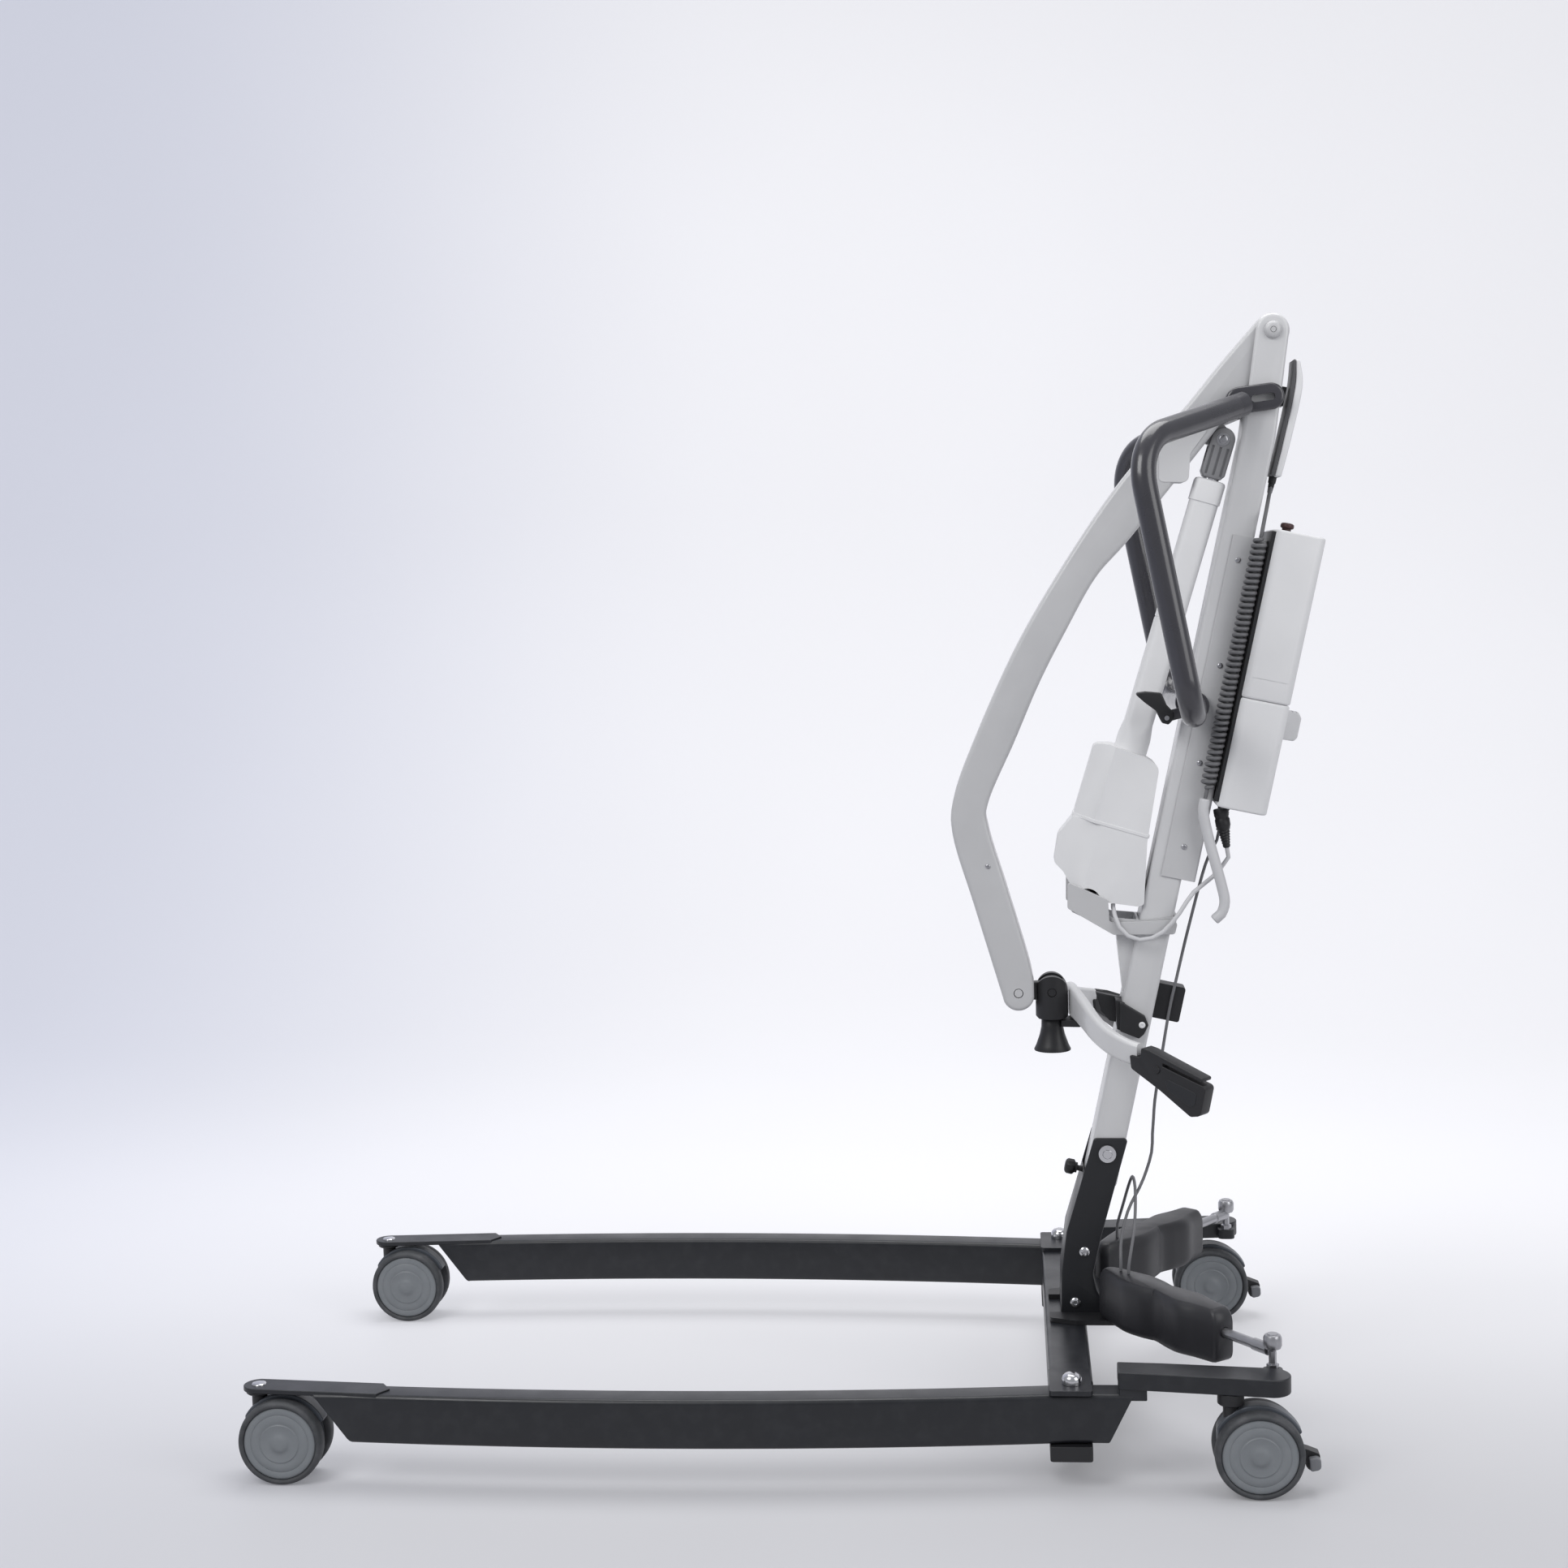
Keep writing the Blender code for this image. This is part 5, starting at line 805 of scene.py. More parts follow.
def make_leg(name, side):
    """Bowed tube with its nose plate, the raised arm over the rear caster and the ball stud's lug."""
    half = LEG_WIDTH / 2
    middle = (LEG_BOTTOM + LEG_TOP) / 2
    section = rounded_box(-half, half, LEG_BOTTOM, LEG_TOP, 0.006)
    stations = [0.055, 0.02] + [-0.8555 * i / 36 for i in range(37)]
    rings = []
    for i, x in enumerate(stations):
        slant = {0: 0.5, len(stations) - 1: -0.75}.get(i, 0.0)
        rings.append([(x + slant * (z - middle), side * (leg_line(x) + off), z) for off, z in section])
    body = f"leg_{name}"
    make_piece(f"leg_tube_{name}", loft(rings), "charcoal", body, body, bevel=0.0008, sharp=40)
    x, y = FRONT_STEM
    near = leg_line(NOSE_BACK)
    nose = arc(x, y, 0.018, 94, 266, 40)
    nose += [(NOSE_BACK, near - 0.018), (NOSE_BACK + 0.012, near), (NOSE_BACK, near + 0.018)]
    arm = [(0.052, LEG_PIVOT_Y + 0.0185), (0.052, LEG_PIVOT_Y - 0.0185), (0.1, LEG_PIVOT_Y - 0.015)]
    arm += arc(REAR_STEM[0] + 0.0451, REAR_STEM[1], 0.022, -86, 90, 40)
    seat = rounded_box(0.0525, 0.084, 0.2725, 0.3075, 0.002, 3)
    bx, by, bz = BALL
    root = REAR_STEM[1] - 0.012
    lug = rounded([(bx - 0.012, root, 0), (bx - 0.011, by - 0.008, 0.007), (bx + 0.011, by - 0.008, 0.007),
                   (bx + 0.012, root, 0)], 8)
    for piece, outline, low, high, bevel in (
            ("nose_plate", nose, 0.1064, 0.112, 0.0009), ("steering_arm", arm, 0.116, 0.136, 0.0016),
            ("arm_seat", seat, 0.1025, 0.1235, 0.0008), ("stud_lug", lug, 0.119, 0.132, 0.001)):
        make_piece(f"{piece}_{name}", slab(mirrored(outline, side), low, high), "charcoal", body, bevel=bevel)
    stud = [(0.0072, 0.1315), (0.0072, 0.1375), (0.0045, 0.138), (0.0045, bz - 0.0115)]
    make_piece(f"ball_stud_{name}", lathe(stud, 6, place=(bx, side * by, 0)), "zinc", body,
               bevel=0.0004)
    cap = mm((8.5, 111.5), (8.5, 112.6), (7.8, 113.4), (5.5, 113.9), (0, 114.1))
    make_piece(f"stem_cap_{name}", lathe(cap, 40, place=(x, side * y, 0)), "chrome", body, sharp=60)


def make_crossbar():
    """Square tube across the base and the clevis plates at its ends."""
    tube = rounded_box(-0.025, 0.025, LEG_BOTTOM - 0.001, LEG_TOP + 0.001, 0.005)
    make_piece("crossbar_tube", prism(tube, -0.262, 0.262), "charcoal", "base", "base_crossbar", bevel=0.0006,
               sharp=40)
    dome = mm((6, -82.8), (6, 0), (11.5, 0), (11.5, 5), (11.2, 6.8), (10, 9.2), (7.8, 11.2), (4.5, 12.5), (0, 12.8))
    for name, side in SIDES:
        near, far = sorted((side * 0.24, side * 0.316))
        plate = rounded_box(-0.026, 0.0224, near, far, 0.004, 5)
        make_piece(f"clevis_plate_{name}", slab(plate, LEG_TOP + 0.0005, LEG_TOP + 0.0065), "charcoal", "base",
                   bevel=0.0007)
        make_piece(f"clevis_block_{name}", slab(plate, LEG_BOTTOM - 0.0185, LEG_BOTTOM - 0.0005), "black", "base",
                   bevel=0.0012)
        place = (0, side * LEG_PIVOT_Y, LEG_TOP + 0.0068)
        make_piece(f"pivot_cap_{name}", lathe(dome, 48, place=place), "chrome", "base", f"pivot_bolt_{name}",
                   sharp=50)


def make_base():
    for name, side in SIDES:
        for end, stem, top in (("front", FRONT_STEM, 0.1057), ("rear", REAR_STEM, 0.1157)):
            holder = BASE @ at(stem[0], side * stem[1], 0)
            make_wheel(f"{end}_{name}", holder)
            make_hood(f"{end}_{name}", holder, top)
            if end == "rear":
                make_pedal(f"rear_{name}", holder)
        make_leg(name, side)
    make_crossbar()


# Mast group: socket, mast, channel, handles.
CHEEK = 0.004
PLAY = 0.0006
KNOB_Z = -0.034
HANDLE_RADIUS = 0.0145


def make_socket():
    """Folded plate socket, its fold bolt and the knob that frees the mast."""
    low = LEG_TOP + 0.0013
    inner = MAST_WIDTH / 2 + PLAY
    half = inner + CHEEK
    outline = [(0.038, 0.3365, 0.004), (0.0025, 0.2183, 0.02), (-0.0045, 0.165, 0.02), (-0.006, low, 0),
               (0.075, low, 0), (0.07, low + 0.004, 0.002), (0.04, 0.14, 0.02), (0.0345, 0.165, 0.02),
               (0.046, 0.215, 0.02), (0.08, 0.3363, 0.004)]
    well = mm((39.5, 345), (10.5, 235), (4, 180), (3, 150), (28, 150), (30.5, 170), (42.5, 220), (75.5, 345))
    ahead = mm((-20, 360), (-20, 292.5), (45, 292.5), (60, 360))
    behind = mm((30, 360), (30, 256), (100, 256), (100, 360))
    hollows = [prism(hole, -inner, inner) for hole in (well, ahead, behind)]
    shell = eased(prism(rounded(outline, 6), -half, half), 0.0016)
    make_piece("socket_shell", carve(shell, *hollows, cross_rod(*FOLD, THROUGH, BOLT_HOLE)), "socket", "base",
               "mast_socket")
    places = mm((24.2, 193.5), (60, 121.5), (12, 129))
    for name, side in SIDES:
        make_piece(f"socket_screws_{name}", screws(places, half, side, 0.0062, 0.0032), "chrome", "base")
    head = mm((0, 0), (5.2, 0), (6, 1.4), (10.6, 1.6), (11.2, 2.6), (11.2, 5.8), (10.4, 6.5), (6, 6.5))
    make_piece("fold_bolt_round", cross_bolt(*FOLD, half + 0.0068, head, 36), "chrome", "base", "fold_bolt",
               sharp=40)
    make_knob()


def make_knob():
    """Knob in front of the socket: every other rib of its rim is a little deeper."""
    r = 0.0095
    profile = [(0.0035, 0.0203), (0.0035, 0.0295), (0.0065, 0.03), (0.0065, 0.0325), (r - 0.001, 0.034), (r, 0.035),
               (r, 0.042), (r - 0.0014, 0.044), (r - 0.0035, 0.0452), (0.0, 0.0455)]
    sides = 60
    verts, faces = rod_between((0, 0, KNOB_Z), (-1, 0, KNOB_Z), profile, sides)
    for i, (x, y, z) in enumerate(verts):
        if i // sides in (5, 6) and i % 6 < 3:
            verts[i] = (x, y * 0.94, KNOB_Z + (z - KNOB_Z) * 0.94)
    make_piece("lock_knob_grip", (verts, faces), "black", "lock_knob", "lock_knob", sharp=40)


def mast_outline():
    """Side view of the mast's tube, whose top bends towards the boom's pivot."""
    r = MAST_DEPTH / 2
    px, pz = mast_side(BOOM_PIVOT)[0]
    tilt = atan2(px, pz - MAST_BEND)
    corner = r * tan(tilt / 2)
    top = arc(px, pz, r, -degrees(tilt), 180 - degrees(tilt), 36)
    return [(r, -0.042), (r, MAST_BEND - corner)] + top + [(-r, MAST_BEND + corner), (-r, -0.042)]


def make_tube_and_bolt():
    """The mast's tube, forked at its top round the boom's root, and the bolt there."""
    px, pz = mast_side(BOOM_PIVOT)[0]
    half = MAST_WIDTH / 2
    inner = half - 0.003
    tube = carve(eased(prism(mast_outline(), -half, half), 0.0048, 5),
                 block(px - 0.06, px + 0.06, -inner, inner, pz - 0.044, pz + 0.06),
                 block(px - 0.06, px + 0.008, -inner, inner, pz - 0.076, pz - 0.035),
                 cross_rod(px, pz, THROUGH, 0.0064), cross_rod(0, 0, THROUGH, BOLT_HOLE))
    make_piece("mast_tube", tube, "mast_paint", "mast", "mast")
    head = mm((0, 0), (3, 0), (3.4, 2.2), (3.6, 0.2), (6.2, 0.4), (9, 1.8), (10.4, 3.8), (10.5, 6), (6, 6))
    make_piece("boom_pivot_bolt_round", cross_bolt(px, pz, half + 0.0063, head, 40), "bolt", "mast",
               "boom_pivot_bolt", sharp=40)


def make_channel():
    """Folded U behind the mast, screwed to its sides, that carries the control box."""
    inner = MAST_WIDTH / 2 + GAP
    outer = inner + 0.002
    back = 0.0365 - GAP
    outline = [(-0.006, -outer, 0.0006), (back, -outer, 0.003), (back, outer, 0.003), (-0.006, outer, 0.0006),
               (-0.006, inner, 0.0006), (back - 0.002, inner, 0.001), (back - 0.002, -inner, 0.001),
               (-0.006, -inner, 0.0006)]
    make_piece("channel_fold", slab(rounded(outline, 4), 0.352, 0.774), "plate", "mast", "box_channel",
               bevel=0.0004)
    places = mast_side(*mm((219.5, 1044.1), (197.1, 917.7), (171.8, 800.1), (152, 698)))
    for name, side in SIDES:
        make_piece(f"channel_screws_{name}", screws(places, outer, side, 0.0034, 0.0018), "zinc", "mast")


def handle_corners(side):
    """Corners of a handle's tube in the mast's frame, each with its bend's radius."""
    places = mm((226, 45.2, 1229), (214, 56, 1224.5), (89.5, 200, 1182), (152, 200, 866), (165.5, 39.5, 870))
    corners = []
    for (x, y, z), radius in zip(places, (0, 0.012, 0.06, 0.046, 0)):
        lx, lz = mast_side((x, z))[0]
        corners.append((lx, side * y, lz, radius))
    return corners


def make_handle(name, side):
    """Smooth bent tube; its upper end is flattened, with a slot, and its lower end has a round foot."""
    body = f"handle_{name}"
    route = bend_route(handle_corners(side), 16)
    make_piece(f"{body}_tube", pipe(route, HANDLE_RADIUS, 40), "grip", "mast", body, sharp=50)
    flat = carve(eased(flank(stadium(-0.033, 0.93, 0.003, 0.942, 0.016), side, 0.0303, 0.042), 0.004, 4),
                 prism(stadium(-0.015, 0.9355, 0.004, 0.942, 0.0042), -0.05, 0.05))
    make_piece(f"{body}_flat_end", flat, "grip", "mast")
    x, _, z = route[-1]
    near, far = sorted((side * 0.0326, side * 0.0425))
    foot = mm((17.2, 0), (17.8, 1.2), (17.8, 7.5), (16.5, 9.9))
    make_piece(f"{body}_foot", rod_between((x, near, z), (x, far, z), foot, 48), "grip", "mast", sharp=50)
    if side < 0:
        make_lever(x - 0.004, z - 0.006)


def make_lever(foot_x, foot_z):
    """Lever with its pin on a tab beside the near handle's foot."""
    x, z = mast_side((0.131, 0.8575))[0]
    tab = prism(stadium(x, z, foot_x, foot_z, 0.0065), -0.0414, -0.0345)
    make_piece("lever_tab", eased(tab, 0.0008), "grip", "mast")
    pin = rod_between((x, -0.04, z), (x, -1.0, z), [(0.003, 0.0), (0.003, 0.0215)], 28)
    make_piece("lever_pin", pin, "zinc", "mast", sharp=40)
    wing = mast_side(*mm((92.5, 888), (104.6, 876.8), (118.1, 866.5), (125.5, 851.5), (133, 849.5), (139.5, 856),
                         (139.5, 864), (131, 873.5), (125, 887.5), (106.2, 889.5)))
    wing = prism(rounded([(*place, 0.0022) for place in wing], 5), -0.062, -0.0432)
    bore = rod_between((x, -0.03, z), (x, -0.08, z), [(0.0036, 0.0), (0.0036, 0.05)], 32)
    make_piece("lever_wing", carve(eased(wing, 0.0018), bore), "black", "handle_lever", "handle_lever")


# Mast group: box, handset, fittings.
BOX_SEAM = 0.585
BOX_HIGH = 0.789
BOX_REAR = 0.101
BOX_FACE = 0.0395
BOX_HALF = 0.0575
GUIDE_RADIUS = 0.0065
PLUG_RIBS = 6


def box_shell(low, high):
    """Moulded half of the box: rounded corners and a soft edge all round."""
    outline = rounded_box(BOX_FACE, BOX_REAR, -BOX_HALF, BOX_HALF, 0.012, 10)
    return eased(slab(outline, low, high), 0.003, 4, 60)


def make_box():
    """Control box over battery, its latch, its stop button and the rail it hangs on, whose black is painted shade in
    the gap behind the curly cord.
    """
    grooves = [block(BOX_FACE - 0.02, BOX_REAR + 0.02, y - 0.0007, y + 0.0007, 0.61, 0.6112)
               for y in (-BOX_HALF, BOX_HALF)]
    make_piece("control_box_shell", carve(box_shell(BOX_SEAM + 0.0005, BOX_HIGH), *grooves), "plastic", "mast",
               "control_box")
    recess = block(BOX_REAR - 0.006, BOX_REAR + 0.01, -0.0125, 0.0125, 0.535, BOX_SEAM + 0.01)
    make_piece("battery_shell", carve(box_shell(BOX_LOW, BOX_SEAM), recess), "plastic", "mast", "battery")
    # The rail is black as painted shade for the gap between the curly cord and the box.
    rail = slab(rounded_box(0.0368, BOX_FACE + 0.003, -0.052, 0.052, 0.0012, 3), BOX_LOW + 0.006, BOX_HIGH - 0.003)
    make_piece("box_rail_painted_shade", rail, "black", "mast", bevel=0.0006)
    latch = rounded(mm((0.2, -18, 3), (21.5, -17.2, 4), (24.8, -12, 3), (24.8, 12, 4), (20, 18.3, 3),
                       (0.2, 18.3, 3)), 6)
    grooves = [block(0.007 + 0.005 * i, 0.0082 + 0.005 * i, -0.02, 0.02, 0.0175, 0.03) for i in range(3)]
    make_piece("battery_latch_grip", carve(eased(prism(latch, -0.0119, 0.0119), 0.0016), *grooves), "latch",
               "battery_latch", "battery_latch", holder=MAST @ at(BOX_REAR - 0.0035, 0, 0.56))
    x = mast_side((0.2809, 1.0785))[0][0]
    cap = mm((5.5, -1), (5.5, 4), (7.4, 4.6), (8.2, 5.8), (8.3, 7.8), (7.8, 9.6), (6, 10.8), (3, 11.2), (0, 11.3))
    make_piece("stop_button_cap", lathe(cap, 40, place=(x, 0, BOX_HIGH)), "red", "stop_button", "stop_button",
               sharp=60)
    collar = mm((8.7, 0), (10.6, 0), (10.6, 1), (10, 1.7), (8.7, 1.7))
    make_piece("stop_collar", lathe(collar, 40, True, (x, 0, BOX_HIGH - 0.0002)), "black", "mast", sharp=60)


def make_handset():
    """Slim handset: a dark front shell, a pale back and the cord's sleeve under it."""
    back = smooth_line(mast_side(*mm((272.6, 1141.4), (284.4, 1184.8), (298.5, 1247.3), (296, 1280))), 18)
    front = smooth_line(mast_side(*mm((286.8, 1281.5), (281.5, 1247.3), (267.5, 1184.8), (258, 1144.5))), 18)[::-1]
    face, seam = [[(fx + share * (bx - fx), fz + share * (bz - fz)) for (bx, bz), (fx, fz) in zip(back, front)]
                  for share in (0.16, 0.46)]
    cover = [(x + 0.0003, z) for x, z in seam] + back[::-1]
    half = 0.023
    make_piece("handset_front", eased(prism(face + seam[::-1], -half, half), 0.0024, 4), "keypad", "mast", "handset")
    make_piece("handset_back", eased(prism(cover, -half, half), 0.003, 4), "plastic", "mast")
    x, _, z = HANDSET_END
    sleeve = mm((2.6, -19), (3, -18), (3.4, -12), (3.6, -11.8), (3.8, -7), (4.6, -6.6), (5, 4), (4.6, 6))
    make_piece("handset_sleeve", lathe(sleeve, 28, place=(x, 0, z)), "black", "mast", sharp=50)


def make_fittings():
    """Guide tube for the curly cord with its stay, the two plugs, and the bolt in the actuator's foot."""
    side_view = [(CURLY_X, BOX_LOW + 0.006), (CURLY_X, BOX_LOW - 0.004), (0.0298, 0.4308), (0.0426, 0.4031),
                 (0.0544, 0.3802), (0.0661, 0.3573), (0.0742, 0.338), (0.0733, 0.3225), (0.0665, 0.313)]
    route = led_line([(x, -CURLY_OUT, z) for x, z in side_view], 0.005)
    make_piece("guide_tube", eased(pipe(route, GUIDE_RADIUS, 28), 0.002, 3, 60), "cable", "mast", "cable_hook",
               sharp=60)
    stay = mm((6, 0), (6, 1.2), (4.5, 2), (4.5, 12))
    make_piece("guide_stay", rod_between((0.029, -0.0326, 0.432), (0.029, -CURLY_OUT, 0.432), stay, 28), "cable",
               "mast", sharp=50)
    for name, start, turn, radius, length in (
            ("actuator_plug", ACTUATOR_PLUG, ACTUATOR_PLUG_TURN, 0.009, ACTUATOR_PLUG_LENGTH),
            ("drive_plug", DRIVE_PLUG, Vector((0, 0, -1)), 0.0075, DRIVE_PLUG_LENGTH)):
        shares = [(1, 0.18), (0.92, 0.2), (0.92, 0.25), (1, 0.27), (1, 0.43), (0.88, 0.5)]
        for i in range(PLUG_RIBS):
            far, waist = 0.54 + 0.07 * i, 0.74 - 0.05 * i
            shares += [(0.84 - 0.055 * i, far), (waist, far + 0.012), (waist, far + 0.045),
                       (0.8 - 0.055 * i, far + 0.058)]
        rings = [(radius * 0.94, 0.0), (radius, 0.0008)] + [(radius * r, length * far) for r, far in shares]
        rings.append((radius * 0.42, length))
        make_piece(f"{name}_body", rod_between(start, start + turn, rings, 32), "black", "mast", name, sharp=50)
    head = mm((0, 0), (3, 0), (3.2, 1.2), (5, 0.2), (7.8, 1.4), (8.5, 3), (8.5, 4.5), (5, 4.5))
    bolt = cross_bolt(*mast_side(ACTUATOR_FOOT)[0], MAST_WIDTH / 2 + PLAY + 0.0078, head, 36)
    make_piece("lower_pivot_bolt_round", bolt, "zinc", "mast", "lower_pivot_bolt", sharp=40)


def make_mast_group():
    make_socket()
    make_tube_and_bolt()
    make_channel()
    make_handle("left", -1)
    make_handle("right", 1)
    make_box()
    make_handset()
    make_fittings()
    make_mast_extras()


def make_mast_extras():
    """Side plates over the actuator's foot, the wedge under the bracket and the catch beside the mast."""
    plate = mm((10.1, 657.5, 3), (9.6, 625, 4), (65.2, 591.4, 8), (139.5, 591.2, 4), (144, 609, 6), (76, 607, 4),
               (60.5, 607, 4), (59, 634.5, 4))
    places = mast_side(*((x, z) for x, z, r in plate))
    plate = rounded([(x, z, r) for (x, z), (_, _, r) in zip(places, plate)], 6)
    for name, side in SIDES:
        make_piece(f"foot_plate_{name}", flank(plate, side, 0.0346, 0.0388), "plate", "mast", bevel=0.0007)
    wedge = mast_side(*mm((68.6, 596.5), (96, 596.5), (80, 511), (77.2, 511)))
    make_piece("mast_wedge", prism(wedge, -0.02, 0.02), "mast_paint", "mast", bevel=0.0012)
    cheek = mast_side(*mm((71.4, 508.1), (76.5, 506), (102, 490.2), (106.2, 479), (100.5, 467.9), (94.4, 462.5),
                          (71.4, 472)))
    step = mast_side(*mm((66.8, 509.5), (78, 506), (73, 471.5), (68, 473.5)))
    nose = mast_side(*mm((43.4, 515), (78, 507), (73.5, 476), (60, 479), (50, 490.5)))
    catch = joined(eased(prism(rounded([(x, z, 0.002) for x, z in cheek], 6), -0.0405, -0.0303), 0.0014),
                   eased(prism(step, -0.0335, 0.004), 0.0006), eased(prism(nose, -0.008, 0.004), 0.0012))
    make_piece("bar_catch", catch, "black", "mast")
    make_piece("catch_screw", screws(mast_side((0.0982, 0.4798)), 0.0405, -1, 0.004, 0.002), "plastic", "mast")


# Boom, hanger, spreader bar and hooks, actuator and leg drives.
BOOM_BOLT = (-0.0517, 0.517)
BOOM_ALONG = Vector((-0.6545, -0.7562))
BOOM_ASIDE = Vector((0.7562, -0.6545))
BOOM_HALF = 0.023
TONGUE_SLOT = 0.0086
BAR_HEIGHT = -0.016
BAR_TALL = 0.0195
BAR_THICK = 0.0072
HOUSING_HALF = 0.034
ROD_START = 0.175


def from_pivot(*points):
    """Side-view places measured from the boom's pivot."""
    return [(x - BOOM_PIVOT[0], z - BOOM_PIVOT[1]) for x, z in points]


def boom_line():
    """The boom's outline about its pivot: a round root, a long bend, and a round end for the bolt."""
    root = Vector(BOOM_PIVOT)
    outer = [root - BOOM_ASIDE * 0.021, (0.2041, 1.2817), (0.1633, 1.233), (0.124, 1.1905), (0.0854, 1.1472),
             (0.0412, 1.088), (-0.0154, 1.0011), (-0.0555, 0.93), (-0.0989, 0.836), (-0.1265, 0.764),
             (-0.129, 0.714), (-0.1047, 0.628), (-0.073, 0.517)]
    inner = [(-0.0325, 0.53), (-0.0389, 0.5613), (-0.064, 0.65), (-0.0845, 0.721), (-0.0843, 0.756),
             (-0.0513, 0.8293), (-0.0195, 0.9013), (0.014, 0.9649), (0.05, 1.027), (0.0897, 1.071),
             root + BOOM_ALONG * 0.2 + BOOM_ASIDE * 0.027, root + BOOM_ALONG * 0.133 + BOOM_ASIDE * 0.025,
             root + BOOM_ASIDE * 0.021]
    turn = degrees(atan2(BOOM_ASIDE.y, BOOM_ASIDE.x))
    line = smooth_line(outer[:-1], 88) + arc(BOOM_BOLT[0], BOOM_BOLT[1] - 0.003, 0.0195, 188, 352, 24)
    line += smooth_line(inner, 90) + arc(*BOOM_PIVOT, 0.021, turn, turn + 180, 32)[1:-1]
    return from_pivot(*line)


def make_boom():
    """Bent beam with its lug and gussets, the bolt in its slotted end, and the tongue on that bolt."""
    (bx, bz), (ex, ez), (tx, tz), screw = from_pivot(BOOM_BOLT, ACTUATOR_TOP, TILT_PIVOT, (-0.0865, 0.6762))
    pocket = [BOOM_ALONG * 0.052 + BOOM_ASIDE * 0.034, BOOM_ALONG * 0.058 - BOOM_ASIDE * 0.008,
              BOOM_ALONG * 0.16 - BOOM_ASIDE * 0.008, BOOM_ALONG * 0.172 + BOOM_ASIDE * 0.04]
    slot = [(bx - 0.012, bz + 0.019), (bx - 0.012, bz - 0.012), (bx - 0.001, bz - 0.03), (bx + 0.05, bz - 0.03),
            (bx + 0.05, bz + 0.019)]
    beam = carve(eased(prism(boom_line(), -BOOM_HALF, BOOM_HALF), 0.0052, 4, 50), prism(pocket, -0.018, 0.018),
                 prism(slot, -TONGUE_SLOT, TONGUE_SLOT), cross_rod(0, 0, THROUGH, BOLT_HOLE),
                 cross_rod(bx, bz, THROUGH, 0.006))
    make_piece("boom_beam", beam, "paint", "boom", "boom")
    base = Vector((ex, ez)) - BOOM_ASIDE * 0.056
    lug = prism(arc(ex, ez, 0.0135, -140, 49, 24) + [base - BOOM_ALONG * 0.02, base + BOOM_ALONG * 0.03], -0.006,
                0.006)
    make_piece("boom_lug", joined(lug, cross_rod(ex, ez, 0.0077, 0.007)), "paint", "boom", bevel=0.0008, sharp=50)
    corners = mm((127, 1140, 6), (162.6, 1138.5, 8), (165, 1173, 10), (185.2, 1199, 6), (183, 1215, 6),
                 (128.4, 1185, 10))
    gusset = rounded([(*from_pivot((x, z))[0], radius) for x, z, radius in corners], 6)
    for name, side in SIDES:
        make_piece(f"boom_gusset_{name}", flank(gusset, side, 0.0195, 0.024), "mast_paint", "boom", bevel=0.0009)
        make_piece(f"boom_screw_{name}", screws([screw], BOOM_HALF, side, 0.003, 0.0016), "zinc", "boom")
    make_piece("boom_end_bolt", cross_rod(bx, bz, 0.0226, 0.0052), "paint", "boom", bevel=0.0008, sharp=50)
    tongue = prism(arc(bx, bz, 0.0095, 90, 270, 24) + arc(tx, tz, 0.0125, -90, 90, 28), -0.008, 0.008)
    tongue = joined(carve(eased(tongue, 0.001, 2, 50), cross_rod(bx, bz, 0.02, 0.0054)),
                    cross_rod(tx, tz, 0.0188, 0.005))
    make_piece("hanger_tongue", tongue, "black", "boom", "hanger_bracket", sharp=50)


def make_hanger():
    """Yoke on the tongue, its stem, and the hub and saddle that turn with the bar."""
    outline = arc(0, 0, 0.02, 0, 180, 40) + mm((-20, -31), (-16, -34), (16, -34), (20, -31))
    yoke = carve(prism(outline, -0.0208, 0.0208), slab(arc(0, 0, 0.0205, 0, 354, 59), -0.05, 0.03),
                 operation="INTERSECT")
    opening = prism(mm((-50, -13.5), (14, -13.5), (14, 50), (-50, 50)), -TONGUE_SLOT, TONGUE_SLOT)
    yoke = carve(yoke, opening, cross_rod(0, 0, THROUGH, PIN_HOLE))
    make_piece("yoke_block", yoke, "black", "yoke", "spreader_yoke", bevel=0.0007, sharp=45, segments=2)
    stem = lathe([(0.006, -0.0715), (0.006, -0.033)], 40)
    make_piece("yoke_stem", stem, "zinc", "yoke", sharp=50)
    skirt = mm((6.6, -72.5), (6.6, -34.3), (12.2, -34.3), (13.2, -35.2), (13.6, -46), (15.8, -56), (20, -68),
               (22.8, -73.8), (22.6, -75.2), (21.2, -75.5), (15, -73.5))
    make_piece("hub_skirt", lathe(skirt, 72, True), "black", "spreader", "spreader_hub", sharp=50)
    seat = BAR_HEIGHT - BAR_TALL - GAP
    outline = rounded(mm((9.5, -12, 0), (34.3, -19, 4), (34.3, 19, 4), (9.5, 12, 0)))
    make_piece("bar_saddle", slab(outline, seat - 0.009, seat), "black", "spreader", bevel=0.0012)


def bar_line():
    """Centre line of the spreader bar from hook to hook."""
    x, z = 0.0283, BAR_HEIGHT
    half = [(x, 0, z), (x + 0.001, 0.03, z - 0.0002), (x + 0.0045, 0.07, z - 0.0045), (x + 0.011, 0.108, z - 0.0135),
            (x + 0.0215, 0.142, z - 0.0215), (x + 0.035, 0.166, z - 0.027), (x + 0.05, 0.18, z - 0.031)]
    return [(px, -py, pz) for px, py, pz in half[:0:-1]] + half


